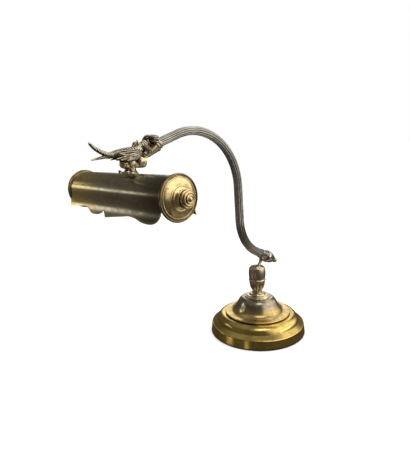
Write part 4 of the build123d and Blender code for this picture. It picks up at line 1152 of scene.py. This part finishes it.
def dragon_head():
    """A plain dragon's head: brows, horns, ears, cheeks, lips, nostrils, eyes and side frills."""
    ribs = [
        [(7.0, 7.6, 27.0 + 0.5 * rise, 1.0, 0.9), (10.2, 11.8, 27.2 + 0.8 * rise, 1.1, 0.9),
         (12.0, 17.6, 26.9 + 1.1 * rise, 0.6, 0.6)]
        for rise in (-3.2, 0.0, 3.2)]
    shape = bmesh.new()
    limb(shape, SKULL, 26)
    paired(shape, (12, BROW), (12, HORN), (12, EAR), (10, CHEEK), (10, LIP), (18, SIDE_FRILL),
           *((10, rib) for rib in ribs))
    knobs(shape, ((1.7, 22.4, 31.4), (1.15, 1.3, 1.0)), ((4.0, 17.2, 30.2), (1.25, 1.25, 1.25)))
    head = cast("dragon_head_skin", shape, voxel=0.3)
    clear_of_arm(head.data)
    hand_over(head, "shade", "figure_brass", "dragon_head")


def dragon_crest():
    """Two pointed frills on the shoulders, ridged like fins."""
    root = [
        (1.4, -15.0, 15.2), (1.4, -11.0, 16.2), (1.4, -7.0, 17.6), (1.4, -3.4, 19.8), (1.4, 0.6, 22.6)]
    hem = [
        (1.82, -16.4, 17.4), (2.52, -9.4, 26.6), (2.1, -6.4, 22.0), (2.66, -2.2, 25.0), (1.82, 1.6, 25.2)]
    shape = bmesh.new()
    fans(shape, root, hem, thick=1.7, ribs=(1.0, 3.0, 2.0), ridge=0.3)
    made = put("dragon_frill", as_mesh("dragon_frill", shape))
    hand_over(made, "shade", "figure_brass", "dragon_crest", sharp=60)


WING_LEAN = radians(40)


def on_wing(u, v, out, *size):
    """A station on the wing at +X: along it, up it and out from it."""
    across = 10.6 - sin(WING_LEAN) * v + cos(WING_LEAN) * out
    return across, u - 23, 9.6 + cos(WING_LEAN) * v + sin(WING_LEAN) * out, *size


def dragon_wings():
    """Two folded wings: a membrane, the arm bone on top, long flight feathers laid under one
    another, short ones over their roots, and a lower row that hangs under the wing."""
    root = [
        on_wing(u, v, 0)
        for u, v in ((9.0, 5.8), (11.4, 4.4), (12.8, 2.4), (12.9, 0.2), (12.2, -1.8))]
    hem = [on_wing(-17.6, 4.6, -0.1)] + [
        on_wing(u, v, 0) for u, v in ((-14.4, 0.6), (-6.0, -2.0), (2.0, -3.4), (9.0, -3.0))]
    flight = [
        [on_wing(12.6, v * 0.7 + 0.6, out - 0.2, 1.0, 0.5), on_wing(6.0, v, out + 0.6, 1.25, 0.7),
         on_wing(0.5 * (6 + end), 0.5 * (v + tip) + 0.2, out + 0.4, 1.1, 0.65),
         on_wing(end, tip, out - 0.7, 0.4, 0.35)]
        for v, tip, end, out in (
            (5.6, 4.6, -19.2, 0.9), (3.1, 2.2, -16.4, 0.8), (0.6, -0.6, -11.4, 0.7),
            (-1.8, -3.4, -4.4, 0.6))]
    short = [
        [on_wing(u + 1.8, v, 1.1, 0.8, 0.4), on_wing(u, v, 1.9, 1.35, 0.55),
         on_wing(u - 3.0, v - 0.2, 1.3, 0.4, 0.3)]
        for u, v in ((11.8, 3.2), (12.2, 0.4), (8.6, 4.4), (8.8, 1.6), (8.2, -1.0))]
    lower = [
        [(11.4, -11.0, 9.0, 1.0, 0.6), (*middle, 1.7, 0.8), (*tip, 0.5, 0.4)]
        for middle, tip in (
            ((12.6, -28.0, 7.8), (12.0, -45.0, 5.0)), ((13.0, -26.0, 5.8), (12.4, -40.0, 3.4)),
            ((13.2, -22.0, 4.8), (12.8, -31.5, 2.6)), ((13.2, -17.5, 4.4), (12.8, -23.5, 2.8)))]
    bone = [
        on_wing(13.6, -0.6, 0.5, 1.2, 1.2), on_wing(13.0, 4.2, 0.5, 1.5, 1.3),
        on_wing(3.0, 7.2, 0.4, 1.05, 1.0), on_wing(-10.0, 6.2, 0.3, 0.8, 0.7),
        on_wing(-19.6, 4.4, 0.2, 0.35, 0.3)]
    slant = WING_LEAN + radians(28)
    shape = bmesh.new()
    fans(shape, root, hem, thick=1.2, ribs=(1.0, 2.0, 3.0), ridge=0.1, across=22, steps=12)
    flat = (-sin(slant), 0, cos(slant))
    paired(shape, *((14, line) for line in flight), *((10, line) for line in short), lean=flat)
    paired(shape, *((14, line) for line in lower), lean=(0, 0.15, 1))
    paired(shape, (12, bone), lean=(0, 0, 1))
    wings = cast("dragon_wing_pair", shape, voxel=0.27)
    hand_over(wings, "shade", "figure_brass", "dragon_wings")


def dragon_legs():
    """Four legs that clasp the socket, each with three claws."""
    shape = bmesh.new()
    for leg in (HIND_LEG, FORE_LEG):
        x, y, z = leg[-1][:3]
        claws = [
            [(x, y, z, 0.9, 0.8), (x - 1.4, y + 0.6 + toe * 1.5, z - 1.5, 0.7, 0.6),
             (x - 3.6, y + 0.4 + toe * 2.1, z - 2.2, 0.2, 0.2)]
            for toe in (-1, 0, 1)]
        paired(shape, (16, leg), *((8, claw) for claw in claws))
    legs = cast("dragon_leg_set", shape, voxel=0.36)
    hand_over(legs, "shade", "figure_brass", "dragon_legs")


def bracket_leaves():
    """Eight cast leaves round the pedestal, which bend down onto the shade."""
    behind = 9.5
    rib = ((5.4, 33.6, 1.3), (6.4, 29.6, 2.1), (7.8, 27.4, 2.2), (9.2, 26.2, 1.3))
    foot = SHADE_CENTRE + Vector((0, behind, 0)) - FIGURE
    shape = bmesh.new()
    for k in range(8):
        turn = 2 * pi * (k + 0.5) / 8
        out = Vector((cos(turn), sin(turn), 0))
        short = 0.8 if out.y < -0.3 else 1.0
        stations = []
        for reach, rise, wide in rib:
            spot = foot + out * reach * short
            if reach > 7:
                away = spot.y - foot.y + behind
                rise += sqrt(max(SHADE_RADIUS ** 2 - away ** 2, 0)) - SHADE_RADIUS
            stations.append((spot.x, spot.y, foot.z + rise, wide, 0.55))
        limb(shape, stations, 12, lean=(-out.y, out.x, 0))
    hand_over(cast("bracket_leaves", shape, voxel=0.4), "shade", "figure_brass")


reeded_tube()
bell_sleeve()
bell_cover()
stepped_collar()
fluted_cup()
shade_skin()
brim_wire()
for side, hand in ((-1, "left"), (1, "right")):
    end_cap(side, f"cap_{hand}", f"end_cap_{hand}")
    finial(side, f"knob_{hand}", f"finial_{hand}")
ball_cap()
dragon_trunk()
dragon_tail()
dragon_head()
dragon_crest()
dragon_wings()
dragon_legs()
bracket_leaves()


# Floor, light and camera

def floor():
    """A plain pale disc under the lamp, 60 m in radius."""
    mesh = bpy.data.meshes.new("floor")
    shape = bmesh.new()
    bmesh.ops.create_circle(shape, cap_ends=True, segments=96, radius=60.0)
    shape.to_mesh(mesh)
    shape.free()
    material, sheet, shader = blank_material("Pale floor")
    cloud = sheet.noise(sheet.place(), 3.0, 3.0, 0.5)
    feed(sheet, shader, "Base Color", sheet.mix(cloud, (0.93, 0.93, 0.93, 1), (0.96, 0.96, 0.96, 1)))
    feed(sheet, shader, "Roughness", 0.85)
    feed(sheet, shader, "Emission Color", (1, 1, 1, 1))
    feed(sheet, shader, "Emission Strength", 0.12)
    mesh.materials.append(material)
    made = put("floor", mesh)
    made.visible_glossy = False


def softbox(name, place, target, wide, high, power, mirrored=True):
    """A rectangular light, its place and size in metres; a mirrored one shows in the brass."""
    data = bpy.data.lights.new(name, "AREA")
    data.shape = "RECTANGLE"
    data.size = wide
    data.size_y = high
    data.energy = power
    made = put(name, data)
    made.location = place
    made.rotation_euler = (Vector(target) - Vector(place)).to_track_quat("-Z", "Y").to_euler()
    made.visible_camera = False
    made.visible_glossy = mirrored


def pane(sheet, bearing, rise, sides, heights, soft):
    """A soft-edged window seen in the metal, between two bearings and two heights in degrees."""
    share = 1.0
    for angle, (low, high) in ((bearing, sides), (rise, heights)):
        edge = min(soft, 0.4 * (high - low))
        past = sheet.ease(angle, high - edge, high + edge)
        share = share * sheet.ease(angle, low - edge, low + edge) * (1 - past)
    return share


# Windows in the reflections: their bearings, heights, light and the softness of their edges
PANES = (
    ((-14, 84), (2, 58), (1.55, 1.46, 1.3, 1), 14),
    ((72, 122), (36, 62), (1.2, 1.14, 1.04, 1), 9),
    ((106, 150), (9, 36), (1.3, 1.26, 1.2, 1), 5),
    ((14, 80), (-66, -28), (0.36, 0.34, 0.31, 1), 9),
    ((-60, 10), (58, 80), (2.4, 2.35, 2.25, 1), 6),
    ((-128, -113), (-28, -8), (0.6, 0.54, 0.4, 1), 4),
    ((-80, -72), (-28, -8), (0.5, 0.45, 0.34, 1), 3),
)


def studio():
    """White surroundings, with a dimmer room and its windows in the reflections."""
    world = bpy.data.worlds.new("Studio")
    bpy.context.scene.world = world
    world.use_nodes = True
    world.cycles.sampling_method = "NONE"
    world.node_tree.nodes.clear()
    sheet = Sheet(world.node_tree)
    x, y, z = sheet.parts(sheet.place())
    bearing = sheet.math("ARCTAN2", y, x) * (180 / pi)
    rise = sheet.math("ARCSINE", z) * (180 / pi)
    room = sheet.mix(sheet.ease(rise, -8.0, 12.0), (0.085, 0.075, 0.06, 1), (0.115, 0.106, 0.092, 1))
    room = sheet.mix(sheet.ease(rise, 34.0, 62.0), room, (0.27, 0.26, 0.245, 1))
    for sides, heights, power, soft in PANES:
        room = sheet.mix(pane(sheet, bearing, rise, sides, heights, soft), room, power)
    shiny = sheet.node("ShaderNodeLightPath", None, None, 3)
    white = sheet.node("ShaderNodeBackground", None, {"Color": (1, 1, 1, 1), "Strength": 1.0})
    mirrored = sheet.node("ShaderNodeBackground", None, {"Color": room, "Strength": 1.0})
    both = sheet.node("ShaderNodeMixShader", None, {0: shiny, 1: white, 2: mirrored})
    sheet.node("ShaderNodeOutputWorld", None, {"Surface": both}, None)


def camera():
    """The photograph's viewpoint: direction, small roll, the point looked at, distance and lens."""
    azimuth, elevation, roll = radians(46.75), radians(11.46), radians(-1.95)
    aside, height, distance = -0.08841, 0.18703, 0.67465
    back = Vector((sin(azimuth) * cos(elevation), -cos(azimuth) * cos(elevation), sin(elevation)))
    right = Vector((cos(azimuth), sin(azimuth), 0))
    over = back.cross(right)
    sideways = cos(roll) * right + sin(roll) * over
    upright = -sin(roll) * right + cos(roll) * over
    target = right * aside + Vector((0, 0, height))
    data = bpy.data.cameras.new("camera")
    data.lens = 31.122
    data.sensor_width = 36
    data.clip_start = 0.01
    made = put("camera", data)
    turn = Matrix((sideways, upright, back)).transposed()
    made.matrix_world = Matrix.Translation(target + back * distance) @ turn.to_4x4()
    bpy.context.scene.camera = made


floor()
softbox("overhead", (0.1, -0.1, 1.5), (0, -0.1, 0.2), wide=1.6, high=0.8, power=9, mirrored=False)
softbox("far_window", (-0.62, -0.58, 0.365), (0, -0.25, 0.27), wide=0.34, high=0.085, power=0.085)
softbox("near_window", (-0.62, -0.415, 0.335), (-0.1, -0.25, 0.25), wide=0.08, high=0.24, power=0.085)
softbox("low_window", (0.54, 0.27, 0.125), (0, -0.03, 0.235), wide=0.42, high=0.15, power=0.26)
studio()
camera()
bpy.context.scene.view_settings.view_transform = "Standard"
